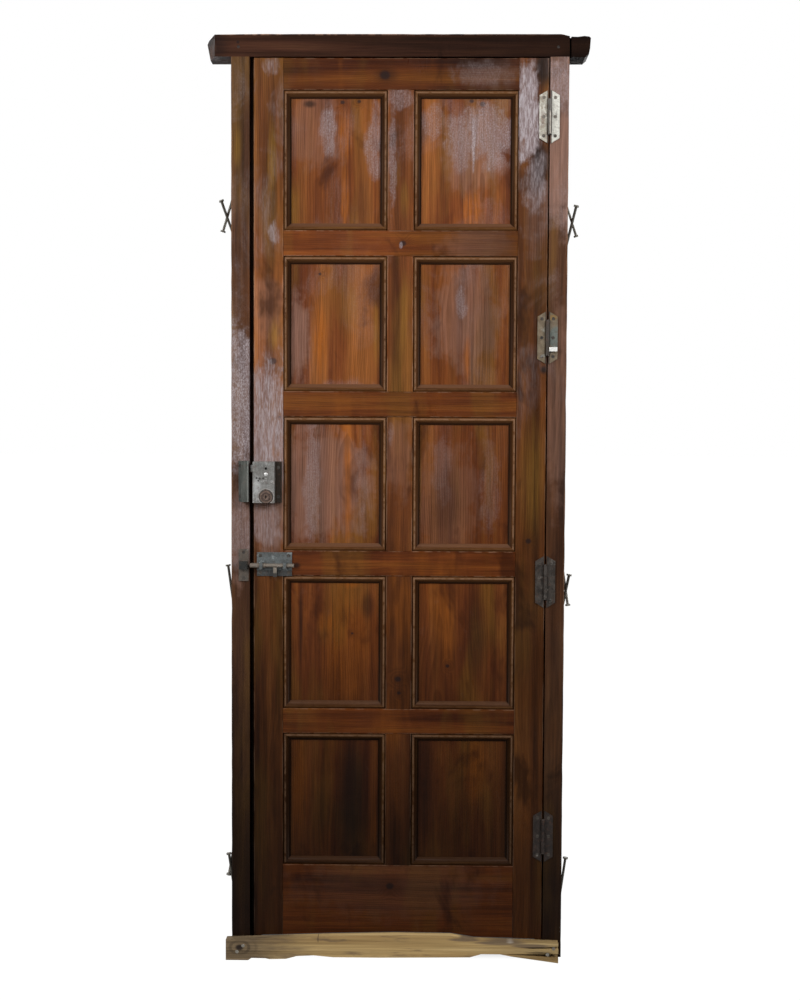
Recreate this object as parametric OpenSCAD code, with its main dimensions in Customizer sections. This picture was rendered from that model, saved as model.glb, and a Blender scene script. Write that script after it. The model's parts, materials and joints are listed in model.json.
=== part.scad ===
// Ten-panel timber door hung in its own frame, with four face hinges, a rim lock
// and a slide bolt. The front faces -Y, +X runs towards the hinge side and +Z is up.
// The origin lies on the floor below the middle of the frame. Sizes are in millimetres.

/* [Leaf] */
// Width of the leaf
leaf_w = 672; // [600:1:900]
// Height of the leaf
leaf_h = 2015; // [1800:1:2500]
// Thickness of the leaf
leaf_t = 38; // [32:1:50]
// Face width of each stile
stile_w = 68; // [66:1:110]
// Face width of the muntins between the two columns of panels
muntin_w = 60; // [48:1:100]
// Face height of the top rail
top_rail_h = 72; // [55:1:140]
// Face height of each of the four middle rails
mid_rail_h = 58.5; // [50:0.5:140]
// Face height of the bottom rail
bottom_rail_h = 156; // [100:1:260]
// How much taller the top row of panels is than the four rows below it
top_row_extra = 8; // [0:1:60]
// Thickness of the flat panels
panel_t = 12; // [8:1:16]
// Depth of the groove that holds a panel
groove_d = 10; // [7:1:12]
// How far a panel reaches into its groove
panel_lap = 8; // [5:1:9]
// Thickness of the tenons
tenon_t = 12; // [8:1:16]
// Length of the rail tenons
tenon_l = 50; // [30:1:55]
// Clearance on each side of a tongue or tenon in its groove or mortise
wood_fit = 0.15; // [0.05:0.05:0.5]

/* [Mouldings] */
// Width of the panel moulding
moulding_w = 17; // [14:1:24]
// Radius of the bead along the outer side of the moulding
bead_r = 3.5; // [2:0.5:4]
// Width of the sunk quirk outside the bead
quirk_w = 1.5; // [1:0.5:3]
// How far the top of the bead lies below the face of the leaf
bead_drop = 1.2; // [0.5:0.1:4]
// Height of the body of the moulding above the panel
moulding_body_h = 7.5; // [6:0.5:8]
// Radius of the cove that runs down to the panel
cove_r = 8; // [6:0.5:9]
// Thickness left at the inner edge of the moulding
moulding_lip = 2; // [1:0.5:3]

/* [Frame] */
// Depth of the frame from front to back
frame_d = 75; // [60:1:140]
// Face width of the jamb on the lock side
jamb_lock_w = 42; // [36:1:90]
// Face width of the jamb on the hinge side
jamb_hinge_w = 43; // [36:1:90]
// Face height of the head
head_h = 51; // [45:1:110]
// How far the stops lap behind the leaf
stop_lap = 12; // [8:1:20]
// Gap between the leaf and the jamb on the lock side
lock_gap = 10; // [3:0.5:14]
// Gap between the leaf and the jamb on the hinge side
hinge_gap = 3; // [2:0.5:6]
// Gap above the leaf
head_gap = 3; // [2:0.5:8]
// Gap between the back of the leaf and the stops
stop_gap = 2; // [1:0.5:5]
// Height of the jamb feet above the floor
jamb_foot = 6; // [0:1:20]
// Width of the tenon on top of each jamb
jamb_tenon_w = 26; // [18:1:34]
// Length of the tenon on top of each jamb
jamb_tenon_l = 34; // [20:1:42]
// Radius of the pegs that pin the head to the jambs
peg_r = 3.5; // [2.5:0.5:6]
// Length of the pegs
peg_l = 58; // [40:1:59]

/* [Horns of the head] */
// Length of the lock-side horn at the front face
horn_front_l = 37; // [20:1:80]
// Length of the lock-side horn at the back
horn_back_l = 64; // [40:1:110]
// How much the lock-side horn is cut under at its lower edge
horn_undercut = 12; // [0:1:18]
// Length of the hinge-side horn
horn_hinge_l = 48; // [30:1:90]
// How far the front of the hinge-side horn is cut back
horn_setback = 4; // [0:1:12]
// Width of the saw cut beside the hinge-side horn
kerf_w = 4; // [2:0.5:8]
// Depth of the saw cut beside the hinge-side horn
kerf_d = 16; // [5:1:30]

/* [Base batten] */
// Greatest height of the batten
batten_h = 61; // [50:1:120]
// Thickness of the batten
batten_t = 25; // [18:1:40]
// How far the batten runs past the lock-side jamb
batten_over = 11; // [0:1:40]
// How far the batten stops short of the outside of the hinge-side jamb
batten_short = 8; // [0:1:20]
// Height above the batten of the line that the foot of the leaf is set out from
foot_rise = 3; // [1:0.5:12]
// Gap between the batten and the scribed foot of the leaf
foot_gap = 1.5; // [1.5:0.5:6]
// Depth of the drying splits in the end of the batten
split_d = 17; // [5:1:20]

/* [Hinges] */
// Distance of the two upper hinges below the top of the leaf
hinge_down = [132, 632];
// Distance of the two lower hinges above the bottom of the leaf
hinge_up = [822, 228];
// Height of a hinge plate
hinge_h = 120; // [90:1:160]
// Width of a hinge plate, measured out from the pin
hinge_w = 23; // [20:1:30]
// Thickness of a hinge plate
hinge_t = 2.5; // [2:0.1:4]
// How much the outer corners of a plate are cut down
hinge_clip = 12; // [0:1:20]
// Height of the three knuckles together
barrel_h = 78; // [45:1:86]
// Outer radius of a knuckle
knuckle_r = 4.5; // [4:0.1:7]
// Radius of the hinge pin
pin_r = 2; // [1.5:0.1:3]
// Radial clearance of the pin in its knuckles
pin_fit = 0.05; // [0.02:0.01:0.1]
// Gap between neighbouring knuckles
knuckle_gap = 0.6; // [0.3:0.1:1.5]
// Spacing of the three screws of a plate
hinge_screw_pitch = 43; // [28:1:46]

/* [Screws and nails] */
// Radius of a screw shank
screw_r = 2; // [1.5:0.1:3]
// Radius of a screw head
screw_head_r = 4; // [3:0.1:5]
// Height of the countersunk part of a screw head
screw_head_h = 2; // [1.5:0.1:2.2]
// Length of a wood screw
screw_l = 26; // [16:1:30]
// Length of the short screws of the bolt plate, which stay in front of the panel grooves
short_screw_l = 14; // [8:1:14]
// Radial clearance of screws, nails and pegs in their holes
hole_fit = 0.05; // [0.02:0.01:0.2]
// Radius of the shank of a fixing nail
nail_r = 2.1; // [1.5:0.1:4]
// Radius of the head of a fixing nail
nail_head_r = 5; // [3:0.1:8]
// Thickness of the head of a nail
nail_head_t = 2; // [1:0.1:3]
// How far a fixing nail is driven into the jamb
nail_bite = 16; // [8:1:30]
// Distance between the two crossing nails, from centre to centre
nail_cross = 6; // [5:0.5:12]
// Length of the nails that hold the batten
batten_nail_l = 58; // [40:1:75]

/* [Rim lock] */
// Height of the bottom of the lock case above the middle rail below it
lock_up = 111; // [40:1:200]
// Height of the lock case
lock_h = 95; // [80:1:140]
// Width of the raised part of the lock case
lock_w = 50; // [44:1:54]
// Width of the low flange beside the raised part
lock_flange_w = 15; // [6:1:16]
// Depth of the raised part of the lock case
lock_t = 24; // [18:1:34]
// Depth of the flange
lock_flange_t = 9; // [5:1:14]
// Wall of the lock case and of its keeper
lock_wall = 1.6; // [1:0.1:2.5]
// Height of the lock tongue
tongue_h = 16; // [10:1:22]
// Thickness of the lock tongue
tongue_t = 9; // [6:0.5:12]
// Height of the middle of the tongue above the bottom of the case
tongue_at = 79; // [60:1:80]
// How far the tongue stands out when it is drawn back
tongue_out = 5.5; // [3:0.5:6]
// How far the tongue moves
tongue_throw = 14; // [8:1:15]
// Running clearance round the tongue
tongue_fit = 0.4; // [0.2:0.1:0.8]
// Radius of the round key bush on the lock
bush_r = 14.5; // [11:0.5:15]
// Radius of the key barrel behind the bush
barrel_r = 7; // [5:0.5:9]
// Distance of the key barrel from the edge of the leaf
bush_in = 30.5; // [28:0.5:34]
// Distance of the tongue's guide stud from the edge of the leaf
stud_in = 24; // [22:0.5:25]
// Radius of the empty rivet hole in the case
rivet_hole_r = 3; // [2:0.1:3.5]

/* [Lock keeper] */
// Width of the keeper
keeper_w = 25; // [22:1:28]
// Height of the keeper
keeper_h = 94; // [80:1:140]
// Width of the keeper's screw flange
keeper_flange_w = 8; // [8:0.5:10]
// Height of the keeper mouth
keeper_mouth_h = 22; // [18:1:30]
// How far the keeper rises above the tongue
keeper_rise = 9; // [4:1:20]

/* [Slide bolt] */
// Height of the bolt rod above the bottom edge of the middle rail that it is screwed to
bolt_up = 24.5; // [20:0.5:40]
// Width of the bolt plate
bolt_plate_w = 81; // [70:1:120]
// Height of the bolt plate
bolt_plate_h = 55; // [40:1:70]
// Thickness of the bolt plate and of the keeper plate
bolt_plate_t = 2.5; // [1.5:0.1:4]
// Distance from the edge of the leaf to the bolt plate
bolt_plate_in = 7.5; // [4:0.5:12]
// Radius of the thick end of the rod
rod_r = 5.5; // [4:0.1:7]
// Radius of the thin end of the rod
rod_thin_r = 4.5; // [3:0.1:5]
// Length of the thick end of the rod
rod_thick_l = 36; // [32:1:40]
// Length of the whole rod
rod_l = 102; // [95:1:130]
// Distance from the face of the leaf to the middle of the rod
rod_off = 9.5; // [9:0.1:14]
// How far the rod slides
rod_throw = 22; // [10:1:24]
// Running clearance round the rod
rod_fit = 0.5; // [0.3:0.1:1]
// Width of a guide strap along the rod
strap_w = 7; // [5:0.5:10]
// Thickness of the guide straps and of the staple
strap_t = 2; // [1.5:0.1:3]
// Width of the thumb lug along the rod
lug_w = 8; // [5:0.5:12]
// Length of the thumb lug below the rod
lug_l = 22; // [12:1:24]
// Thickness of the thumb lug
lug_t = 3; // [2:0.5:5]
// Height of the keeper plate on the jamb
bolt_keeper_h = 74; // [50:1:90]
// Width of the keeper plate on the jamb
bolt_keeper_w = 23; // [18:1:28]
// Width of the staple along the rod
staple_w = 19; // [12:1:24]

/* [Hidden] */
$fn = 48;

// Long enough to cut clean through any piece
through = 400;
// How far a cutter reaches past a face that it opens
over = 1;

// Front plane of both leaf and frame; with it the origin is at mid-depth
face_y = -25;
rows = 5;

// Places across the door, from the lock side to the hinge side
frame_w = jamb_lock_w + lock_gap + leaf_w + hinge_gap + jamb_hinge_w;
frame_x0 = -frame_w / 2;
frame_x1 = frame_w / 2;
jamb_lock_in = frame_x0 + jamb_lock_w;
jamb_hinge_in = frame_x1 - jamb_hinge_w;
leaf_x0 = jamb_lock_in + lock_gap;
leaf_x1 = leaf_x0 + leaf_w;
rail_x0 = leaf_x0 + stile_w;
rail_w = leaf_w - 2 * stile_w;
opening_w = (rail_w - muntin_w) / 2;

// Ends of the batten, and its top edge from the hinge side to the lock side
batten_x0 = frame_x0 - batten_over;
batten_x1 = frame_x1 - batten_short;
batten_top = [
    [batten_x1, batten_h - 15],
    [batten_x1 - 150, batten_h - 11],
    [batten_x1 - 195, batten_h - 10],
    [batten_x1 - 250, batten_h - 1],
    [0, batten_h],
    [batten_x0 + 240, batten_h - 4],
    [batten_x0 + 120, batten_h - 9],
    [batten_x0, batten_h - 13],
];

// Heights
leaf_z0 = batten_h + foot_rise;
leaf_z1 = leaf_z0 + leaf_h;
foot_z = min([for (point = batten_top) point[1]]) + foot_gap;
head_z = leaf_z1 + head_gap;
row_h = (leaf_h - top_rail_h - bottom_rail_h - (rows - 1) * mid_rail_h - top_row_extra) / rows;

// Row 0 is the top row
function opening_h(row) = row_h + (row == 0 ? top_row_extra : 0);
function opening_top(row) =
    leaf_z1 - top_rail_h - row * (row_h + mid_rail_h) - (row > 0 ? top_row_extra : 0);
function opening_z(row) = opening_top(row) - opening_h(row);
// Bottom and height of each rail; rail 0 is the top rail and the last is the bottom rail
function rail_z(i) = i == rows ? leaf_z0 : opening_top(i);
function rail_h(i) = i == rows ? bottom_rail_h : (i == 0 ? top_rail_h : mid_rail_h);
// Lowest point of each rail; the bottom rail runs on down to the scribed foot
function rail_foot(i) = i == rows ? foot_z : rail_z(i);
// Column 0 is on the lock side
function opening_x(column) = rail_x0 + column * (opening_w + muntin_w);

// Depths
leaf_mid_y = face_y + leaf_t / 2;
panel_face_y = leaf_mid_y - panel_t / 2;
stop_y = face_y + leaf_t + stop_gap;
back_y = face_y + frame_d;

// Hinges, from the top one down
hinge_z = concat([for (d = hinge_down) leaf_z1 - d], [for (u = hinge_up) leaf_z0 + u]);
pin_x = leaf_x1 + hinge_gap / 2;
knuckle_clear = 0.5;
pin_y = face_y - knuckle_r - knuckle_clear;
knuckle_h = (barrel_h - 2 * knuckle_gap) / 3;
// Inner edge of a plate, and reach of the notches round the knuckles, from the pin
plate_edge = 3;
plate_notch = knuckle_r + 0.9;
hinge_screw_u = (plate_edge + hinge_w) / 2;

// The lock stands above the rail that carries the slide bolt
fitting_rail = 3;

// Lock
lock_x0 = leaf_x0;
lock_z = rail_z(fitting_rail) + mid_rail_h + lock_up;
tongue_z = lock_z + tongue_at;
tongue_y = face_y - lock_t / 2;
bush_x = lock_x0 + bush_in;
bush_z = lock_z + bush_r;
keeper_x1 = jamb_lock_in;
keeper_z = tongue_z + tongue_h / 2 + keeper_rise - keeper_h;
keeper_flange_t = lock_wall + 0.4;
case_screw_in = 14;
keeper_screw_in = 12;

// Slide bolt
bolt_z = rail_z(fitting_rail) + bolt_up;
rod_y = face_y - rod_off;
// The drawn-back rod ends just inside the jamb gap
rod_x0 = jamb_lock_in + 1.5;
// The rod lies a little below the middle of its plate
rod_drop = 2.5;
bolt_plate_x0 = leaf_x0 + bolt_plate_in;
bolt_plate_x1 = bolt_plate_x0 + bolt_plate_w;
bolt_plate_z0 = bolt_z + rod_drop - bolt_plate_h / 2;
strap_1_x = bolt_plate_x0 + 7;
strap_2_x = bolt_plate_x1 - 12 - strap_w;
lug_clear = 2.5;
lug_x = strap_1_x + strap_w + rod_throw + lug_clear;
bolt_screw_in = 8;
bolt_keeper_x1 = jamb_lock_in - 2;
bolt_keeper_screw_in = 7;
staple_x0 = bolt_keeper_x1 - 1.5 - staple_w;
// The staple is wider inside than the guide straps
staple_ease = 1;

// Pegs: distance below the top of the jamb tenon, and off the middle of the jamb
peg_down = 12;
peg_off = 4;

// Nails of the batten: heights, distances from the outside of each jamb, and the
// height at which a nail stands exactly at that distance
batten_nail_z = [20, 34];
batten_nail_in = [22, 26];
batten_nail_mid = 27;

// Fixing nails of each jamb: distance of the head from the jamb, height of the
// head, height at which the nail enters the jamb, which of two crossing planes
nails_lock_side = [
    [27, 1762, 1688, -1],
    [24, 1691, 1772, 1],
    [12, 918, 830, -1],
    [11, 235, 160, -1],
    [12, 182, 246, 1]
];
nails_hinge_side = [
    [22, 1752, 1662, -1],
    [23, 1682, 1752, 1],
    [14, 900, 830, -1],
    [12, 827, 906, 1],
    [12, 232, 146, -1]
];

// ---------------------------------------------------------------- fasteners

// Rod from the origin towards +Y
module rod_y(r, l) {
    rotate([-90, 0, 0]) cylinder(r = r, h = l);
}

// Countersunk screw with its flat head at the origin and its point towards +Y
module wood_screw(fit = 0, length = screw_l) {
    difference() {
        union() {
            rotate([-90, 0, 0])
                cylinder(r1 = screw_head_r + fit, r2 = screw_r + fit, h = screw_head_h);
            rod_y(screw_r + fit, length);
        }
        if (fit == 0)
            translate([-screw_head_r, -over, -0.5])
                cube([2 * screw_head_r, over + 0.8, 1]);
    }
}

// Straight nail along +X from its head at the origin
module nail(length, head_r, fit = 0) {
    rotate([0, 90, 0]) {
        cylinder(r = head_r + fit, h = nail_head_t);
        cylinder(r = nail_r + fit, h = length);
    }
}

// ------------------------------------------------------------------- frame

// Outline of the head as seen from the front, with its worn ends
module head_front_outline() {
    left = frame_x0 - horn_back_l;
    right = frame_x1 + horn_hinge_l;
    top = head_z + head_h;
    polygon([
        [left + horn_undercut, head_z],
        [left + 2, top - 14],
        [left, top - 6],
        [left + 6, top - 2],
        [frame_x0 + 10, top - 1],
        [frame_x0 + 60, top],
        [frame_x1 - 20, top],
        [frame_x1, top - 5],
        [frame_x1 + kerf_w, top - 5],
        [frame_x1 + kerf_w + 14, top - 5.5],
        [right - 14, top - 3.5],
        [right - 3, top - 5],
        [right, top - 8],
        [right - 1.5, head_z + 20],
        [right - 4, head_z + 7],
        [right - 12, head_z],
    ]);
}

// Outline of the head as seen from above
module head_plan_outline() {
    right = frame_x1 + horn_hinge_l;
    polygon([
        [frame_x0 - horn_front_l, face_y],
        [frame_x1 + kerf_w, face_y],
        [frame_x1 + kerf_w, face_y + horn_setback],
        [right, face_y + horn_setback],
        [right, back_y],
        [frame_x0 - horn_back_l, back_y],
    ]);
}

module jamb_tenon(side_x, width, fit = 0) {
    translate([side_x + (width - jamb_tenon_w) / 2 - fit, face_y + frame_d / 2 - tenon_t - fit,
               head_z - over])
        cube([jamb_tenon_w + 2 * fit, 2 * tenon_t + 2 * fit, jamb_tenon_l + over + fit]);
}

module peg(side_x, width, fit = 0) {
    translate([side_x + width / 2 - peg_off, face_y + over, head_z + jamb_tenon_l - peg_down])
        rod_y(peg_r + fit, peg_l);
}

module peg_hole(side_x, width) {
    peg(side_x, width, hole_fit);
    translate([0, -2 * over, 0]) peg(side_x, width, hole_fit);
}

module head() {
    stop_x0 = jamb_lock_in + lock_gap + stop_lap;
    stop_x1 = jamb_hinge_in - hinge_gap - stop_lap;
    color("#4f3027")
    difference() {
        union() {
            intersection() {
                translate([0, back_y, 0]) rotate([90, 0, 0])
                    linear_extrude(frame_d) head_front_outline();
                translate([0, 0, head_z]) linear_extrude(head_h) head_plan_outline();
            }
            translate([stop_x0, stop_y, head_z - head_gap - stop_lap])
                cube([stop_x1 - stop_x0, back_y - stop_y, head_gap + stop_lap + over]);
        }
        translate([frame_x1, face_y - over, head_z - over])
            cube([kerf_w, kerf_d + over, head_h + 2 * over]);
        jamb_tenon(frame_x0, jamb_lock_w, wood_fit);
        jamb_tenon(jamb_hinge_in, jamb_hinge_w, wood_fit);
        peg_hole(frame_x0, jamb_lock_w);
        peg_hole(jamb_hinge_in, jamb_hinge_w);
    }
}

module frame_pegs() {
    color("#2a1a12") {
        peg(frame_x0, jamb_lock_w);
        peg(jamb_hinge_in, jamb_hinge_w);
    }
}

// Rebated post; the thicker back part is the stop for the leaf
module jamb_timber(side_x, width, stop_x, stop_w) {
    height = head_z - jamb_foot;
    translate([side_x, face_y, jamb_foot]) cube([width, frame_d, height]);
    translate([stop_x, stop_y, jamb_foot]) cube([stop_w, back_y - stop_y, height]);
}

// Fixing nails of one side; side is -1 on the lock side and 1 on the hinge side
module side_nails(list, side, fit = 0) {
    mid_y = face_y + frame_d / 2;
    for (item = list) {
        drop = item[1] - item[2];
        reach = norm([item[0], drop]);
        turn = atan2(drop, -side * item[0]);
        translate([side * (frame_w / 2 + item[0]), mid_y + item[3] * nail_cross / 2, item[1]])
            rotate([0, turn, 0])
                nail(reach + nail_bite, nail_head_r, fit);
    }
}

module hinge_screws(side, fit = 0) {
    for (z = hinge_z)
        for (step = [-1:1])
            translate([pin_x + side * hinge_screw_u, face_y - hinge_t,
                       z + step * hinge_screw_pitch])
                wood_screw(fit);
}

module keeper_screw_set(fit = 0) {
    bolt_reach = bolt_keeper_h / 2 - bolt_keeper_screw_in;
    for (z = [keeper_z + keeper_screw_in, keeper_z + keeper_h - keeper_screw_in])
        translate([keeper_x1 - keeper_w + keeper_flange_w / 2, face_y - keeper_flange_t, z])
            wood_screw(fit);
    for (z = [bolt_z - bolt_reach, bolt_z + bolt_reach])
        translate([bolt_keeper_x1 - bolt_keeper_w / 2, face_y - bolt_plate_t, z])
            wood_screw(fit);
}

module batten_nail_set(fit = 0) {
    for (x = [frame_x0 + batten_nail_in[0], frame_x1 - batten_nail_in[1]])
        for (z = batten_nail_z)
            translate([x + z - batten_nail_mid, face_y - batten_t, z])
                rotate([0, 0, 90]) nail(batten_nail_l, nail_head_r - 1, fit);
}

module jamb_lock_side() {
    color("#5a3a2c")
    difference() {
        union() {
            jamb_timber(frame_x0, jamb_lock_w, frame_x0, jamb_lock_w + lock_gap + stop_lap);
            jamb_tenon(frame_x0, jamb_lock_w);
        }
        peg_hole(frame_x0, jamb_lock_w);
        side_nails(nails_lock_side, -1, hole_fit);
        keeper_screw_set(hole_fit);
        batten_nail_set(hole_fit);
    }
}

module jamb_hinge_side() {
    stop_w = jamb_hinge_w + hinge_gap + stop_lap;
    color("#55382c")
    difference() {
        union() {
            jamb_timber(jamb_hinge_in, jamb_hinge_w, frame_x1 - stop_w, stop_w);
            jamb_tenon(jamb_hinge_in, jamb_hinge_w);
        }
        peg_hole(jamb_hinge_in, jamb_hinge_w);
        side_nails(nails_hinge_side, 1, hole_fit);
        hinge_screws(1, hole_fit);
        batten_nail_set(hole_fit);
    }
}

// Rough sawn batten, seen from the front; it stands on its two ends
module batten_outline() {
    x0 = batten_x0;
    x1 = batten_x1;
    polygon(concat([
        [x0, 0],
        [x0 + 52, 0],
        [x0 + 60, 5.5],
        [x0 + 92, 5],
        [x0 + 102, 3],
        [x0 + 140, 4],
        [x0 + 166, 11],
        [x0 + 205, 13],
        [x0 + 250, 9],
        [-40, 9],
        [x1 - 205, 12],
        [x1 - 178, 20],
        [x1 - 135, 20],
        [x1 - 110, 15],
        [x1, 0],
    ], batten_top));
}

// What the scribed foot of the leaf leaves free over the batten
module foot_scribe() {
    translate([0, face_y + leaf_t + over, 0]) rotate([90, 0, 0])
        linear_extrude(leaf_t + 2 * over)
            polygon(concat([[batten_x0, 0], [batten_x1, 0]],
                           [for (point = batten_top) point + [0, foot_gap]]));
}

// Wedge-shaped drying split that opens towards the end of the batten
module split(length, z_tip, z_low, z_high) {
    x1 = batten_x1;
    translate([0, face_y - batten_t + split_d, 0]) rotate([90, 0, 0])
        linear_extrude(split_d + over)
            polygon([[x1 - length, z_tip], [x1 + over, z_low], [x1 + over, z_high]]);
}

module base_batten() {
    color("#9c7d50")
    difference() {
        translate([0, face_y, 0]) rotate([90, 0, 0])
            linear_extrude(batten_t) batten_outline();
        split(80, 33, 34, 40);
        split(128, 20, 12, 22);
        batten_nail_set(hole_fit);
    }
}

module batten_nails() {
    color("#3a342e") batten_nail_set();
}

module fixing_nails_left() {
    color("#4a443d") side_nails(nails_lock_side, -1);
}

module fixing_nails_right() {
    color("#4a443d") side_nails(nails_hinge_side, 1);
}

// Folded box with a screw flange; its mouth faces the lock
module lock_keeper() {
    box_x0 = keeper_x1 - keeper_w + keeper_flange_w;
    color("#4c4f4a")
    difference() {
        union() {
            translate([keeper_x1 - keeper_w, face_y - keeper_flange_t, keeper_z])
                cube([keeper_w, keeper_flange_t, keeper_h]);
            translate([box_x0, face_y - lock_t, keeper_z])
                cube([keeper_w - keeper_flange_w, lock_t, keeper_h]);
        }
        translate([box_x0 + lock_wall, face_y - lock_t + lock_wall, keeper_z + lock_wall])
            cube([keeper_w - keeper_flange_w - 2 * lock_wall, lock_t, keeper_h - 2 * lock_wall]);
        translate([keeper_x1 - lock_wall - over, face_y - lock_t + 2 * lock_wall,
                   tongue_z - keeper_mouth_h / 2])
            cube([lock_wall + 2 * over, lock_t, keeper_mouth_h]);
        keeper_screw_set(hole_fit);
    }
}

module keeper_screws() {
    color("#6a665e") keeper_screw_set();
}

module bolt_keeper_plate() {
    color("#5d5c54")
    difference() {
        translate([bolt_keeper_x1 - bolt_keeper_w, face_y - bolt_plate_t,
                   bolt_z - bolt_keeper_h / 2])
            cube([bolt_keeper_w, bolt_plate_t, bolt_keeper_h]);
        keeper_screw_set(hole_fit);
    }
}

// Square bridge over the rod, standing on a plate; x0 is its edge nearest the jamb
module bridge(x0, width, bore_r) {
    inner = bore_r + rod_fit;
    deep = rod_off + inner - bolt_plate_t;
    translate([x0, face_y - bolt_plate_t - deep - strap_t, bolt_z - inner - strap_t])
    difference() {
        cube([width, deep + strap_t, 2 * (inner + strap_t)]);
        translate([-over, strap_t, strap_t]) cube([width + 2 * over, deep + over, 2 * inner]);
    }
}

module bolt_staple() {
    color("#33332f") bridge(staple_x0, staple_w, rod_r + staple_ease);
}

// ------------------------------------------------------------------ hinges

// One hinge plate with its knuckles. side is 1 for the jamb plate, which has the
// two outer knuckles, and -1 for the leaf plate, which has the middle one.
module hinge_plate(z, side) {
    half = hinge_h / 2;
    barrel_half = barrel_h / 2;
    middle_half = knuckle_h / 2;
    outer_from = middle_half + knuckle_gap;
    translate([pin_x, 0, z]) mirror([side < 0 ? 1 : 0, 0, 0])
    difference() {
        union() {
            translate([0, face_y, 0]) rotate([90, 0, 0]) linear_extrude(hinge_t)
                polygon([
                    [plate_edge, -half],
                    [hinge_w, -half + hinge_clip],
                    [hinge_w, half - hinge_clip],
                    [plate_edge, half],
                ]);
            if (side > 0)
                for (from = [-barrel_half, outer_from]) knuckle(from);
            else
                knuckle(-middle_half);
        }
        // Room for the knuckles of the other plate
        if (side > 0)
            knuckle_room(-outer_from, 2 * outer_from);
        else
            for (from = [-barrel_half - knuckle_gap, middle_half])
                knuckle_room(from, barrel_half - middle_half + knuckle_gap);
        translate([0, pin_y, -half]) cylinder(r = pin_r + pin_fit, h = hinge_h);
        for (step = [-1:1])
            translate([hinge_screw_u, face_y - hinge_t, step * hinge_screw_pitch])
                wood_screw(hole_fit);
    }
}

module knuckle(from) {
    translate([0, pin_y, from]) cylinder(r = knuckle_r, h = knuckle_h);
    translate([0, face_y - hinge_t, from]) cube([plate_notch, hinge_t - knuckle_clear, knuckle_h]);
}

module knuckle_room(from, height) {
    translate([-plate_notch, face_y - through / 2, from])
        cube([2 * plate_notch, through, height]);
}

module hinge_pin(z) {
    head_t = 1.5;
    translate([pin_x, pin_y, z - barrel_h / 2 - head_t]) {
        cylinder(r = pin_r, h = barrel_h + 2 * head_t);
        cylinder(r = knuckle_r - 1, h = head_t);
        translate([0, 0, barrel_h + head_t]) cylinder(r = knuckle_r - 1, h = head_t);
    }
}

module hinge_pins() {
    color("#6f6a61") for (z = hinge_z) hinge_pin(z);
}

module jamb_hinge_screws() {
    color("#5b564d") hinge_screws(1);
}

module leaf_hinge_screws() {
    color("#5b564d") hinge_screws(-1);
}

// -------------------------------------------------------------------- leaf

// Groove for one panel, cut into whatever borders its opening
module panel_groove(row, column) {
    translate([opening_x(column) - groove_d, leaf_mid_y - panel_t / 2 - wood_fit,
               opening_z(row) - groove_d])
        cube([opening_w + 2 * groove_d, panel_t + 2 * wood_fit, opening_h(row) + 2 * groove_d]);
}

module all_panel_grooves() {
    for (row = [0:rows - 1], column = [0:1]) panel_groove(row, column);
}

// Tenons at both ends of a rail between two heights
module rail_tenons(z0, height, fit = 0) {
    long = rail_w + 2 * tenon_l + 2 * fit;
    translate([rail_x0 - tenon_l - fit, leaf_mid_y - tenon_t / 2 - fit, z0 + groove_d - fit])
        cube([long, tenon_t + 2 * fit, height - 2 * groove_d + 2 * fit]);
}

module rail(i) {
    difference() {
        union() {
            translate([rail_x0, face_y, rail_foot(i)])
                cube([rail_w, leaf_t, rail_z(i) + rail_h(i) - rail_foot(i)]);
            rail_tenons(rail_z(i), rail_h(i));
        }
        foot_scribe();
        all_panel_grooves();
        muntin_tenons(wood_fit);
        leaf_fitting_screw_set(hole_fit);
    }
}

module stile(x0) {
    difference() {
        translate([x0, face_y, foot_z]) cube([stile_w, leaf_t, leaf_z1 - foot_z]);
        foot_scribe();
        all_panel_grooves();
        for (i = [0:rows]) rail_tenons(rail_z(i), rail_h(i), wood_fit);
    }
}

module lock_stile() {
    color("#5f3d2d")
    difference() {
        stile(leaf_x0);
        leaf_fitting_screw_set(hole_fit);
        translate([bush_x, face_y - over, bush_z]) rod_y(barrel_r + hole_fit, leaf_t + 2 * over);
    }
}

module hinge_stile() {
    color("#5c3b2d")
    difference() {
        stile(leaf_x1 - stile_w);
        hinge_screws(-1, hole_fit);
    }
}

// Stub tenons of every muntin, standing in the grooves of the rails
module muntin_tenons(fit = 0) {
    for (row = [0:rows - 1])
        translate([rail_x0 + opening_w + groove_d - fit, leaf_mid_y - tenon_t / 2 - fit,
                   opening_z(row) - panel_lap - fit])
            cube([muntin_w - 2 * groove_d + 2 * fit, tenon_t + 2 * fit,
                  opening_h(row) + 2 * panel_lap + 2 * fit]);
}

module muntin(row) {
    color("#69422c")
    difference() {
        union() {
            translate([rail_x0 + opening_w, face_y, opening_z(row)])
                cube([muntin_w, leaf_t, opening_h(row)]);
            intersection() {
                muntin_tenons();
                translate([rail_x0, face_y, opening_z(row) - groove_d])
                    cube([rail_w, leaf_t, opening_h(row) + 2 * groove_d]);
            }
        }
        all_panel_grooves();
    }
}

module panel(row, column) {
    color("#7a4a2c")
    translate([opening_x(column) - panel_lap, panel_face_y, opening_z(row) - panel_lap])
        cube([opening_w + 2 * panel_lap, panel_t, opening_h(row) + 2 * panel_lap]);
}

// Section of the moulding: x runs in from the edge of the opening, y stands up
// from the face of the panel
module moulding_section() {
    bead_x = quirk_w + bead_r;
    bead_y = (leaf_t - panel_t) / 2 - bead_drop - bead_r;
    square([bead_x, bead_y]);
    translate([bead_x, bead_y]) circle(r = bead_r);
    difference() {
        square([moulding_w, moulding_body_h]);
        translate([moulding_w, moulding_lip + cove_r]) circle(r = cove_r);
    }
}

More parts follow.
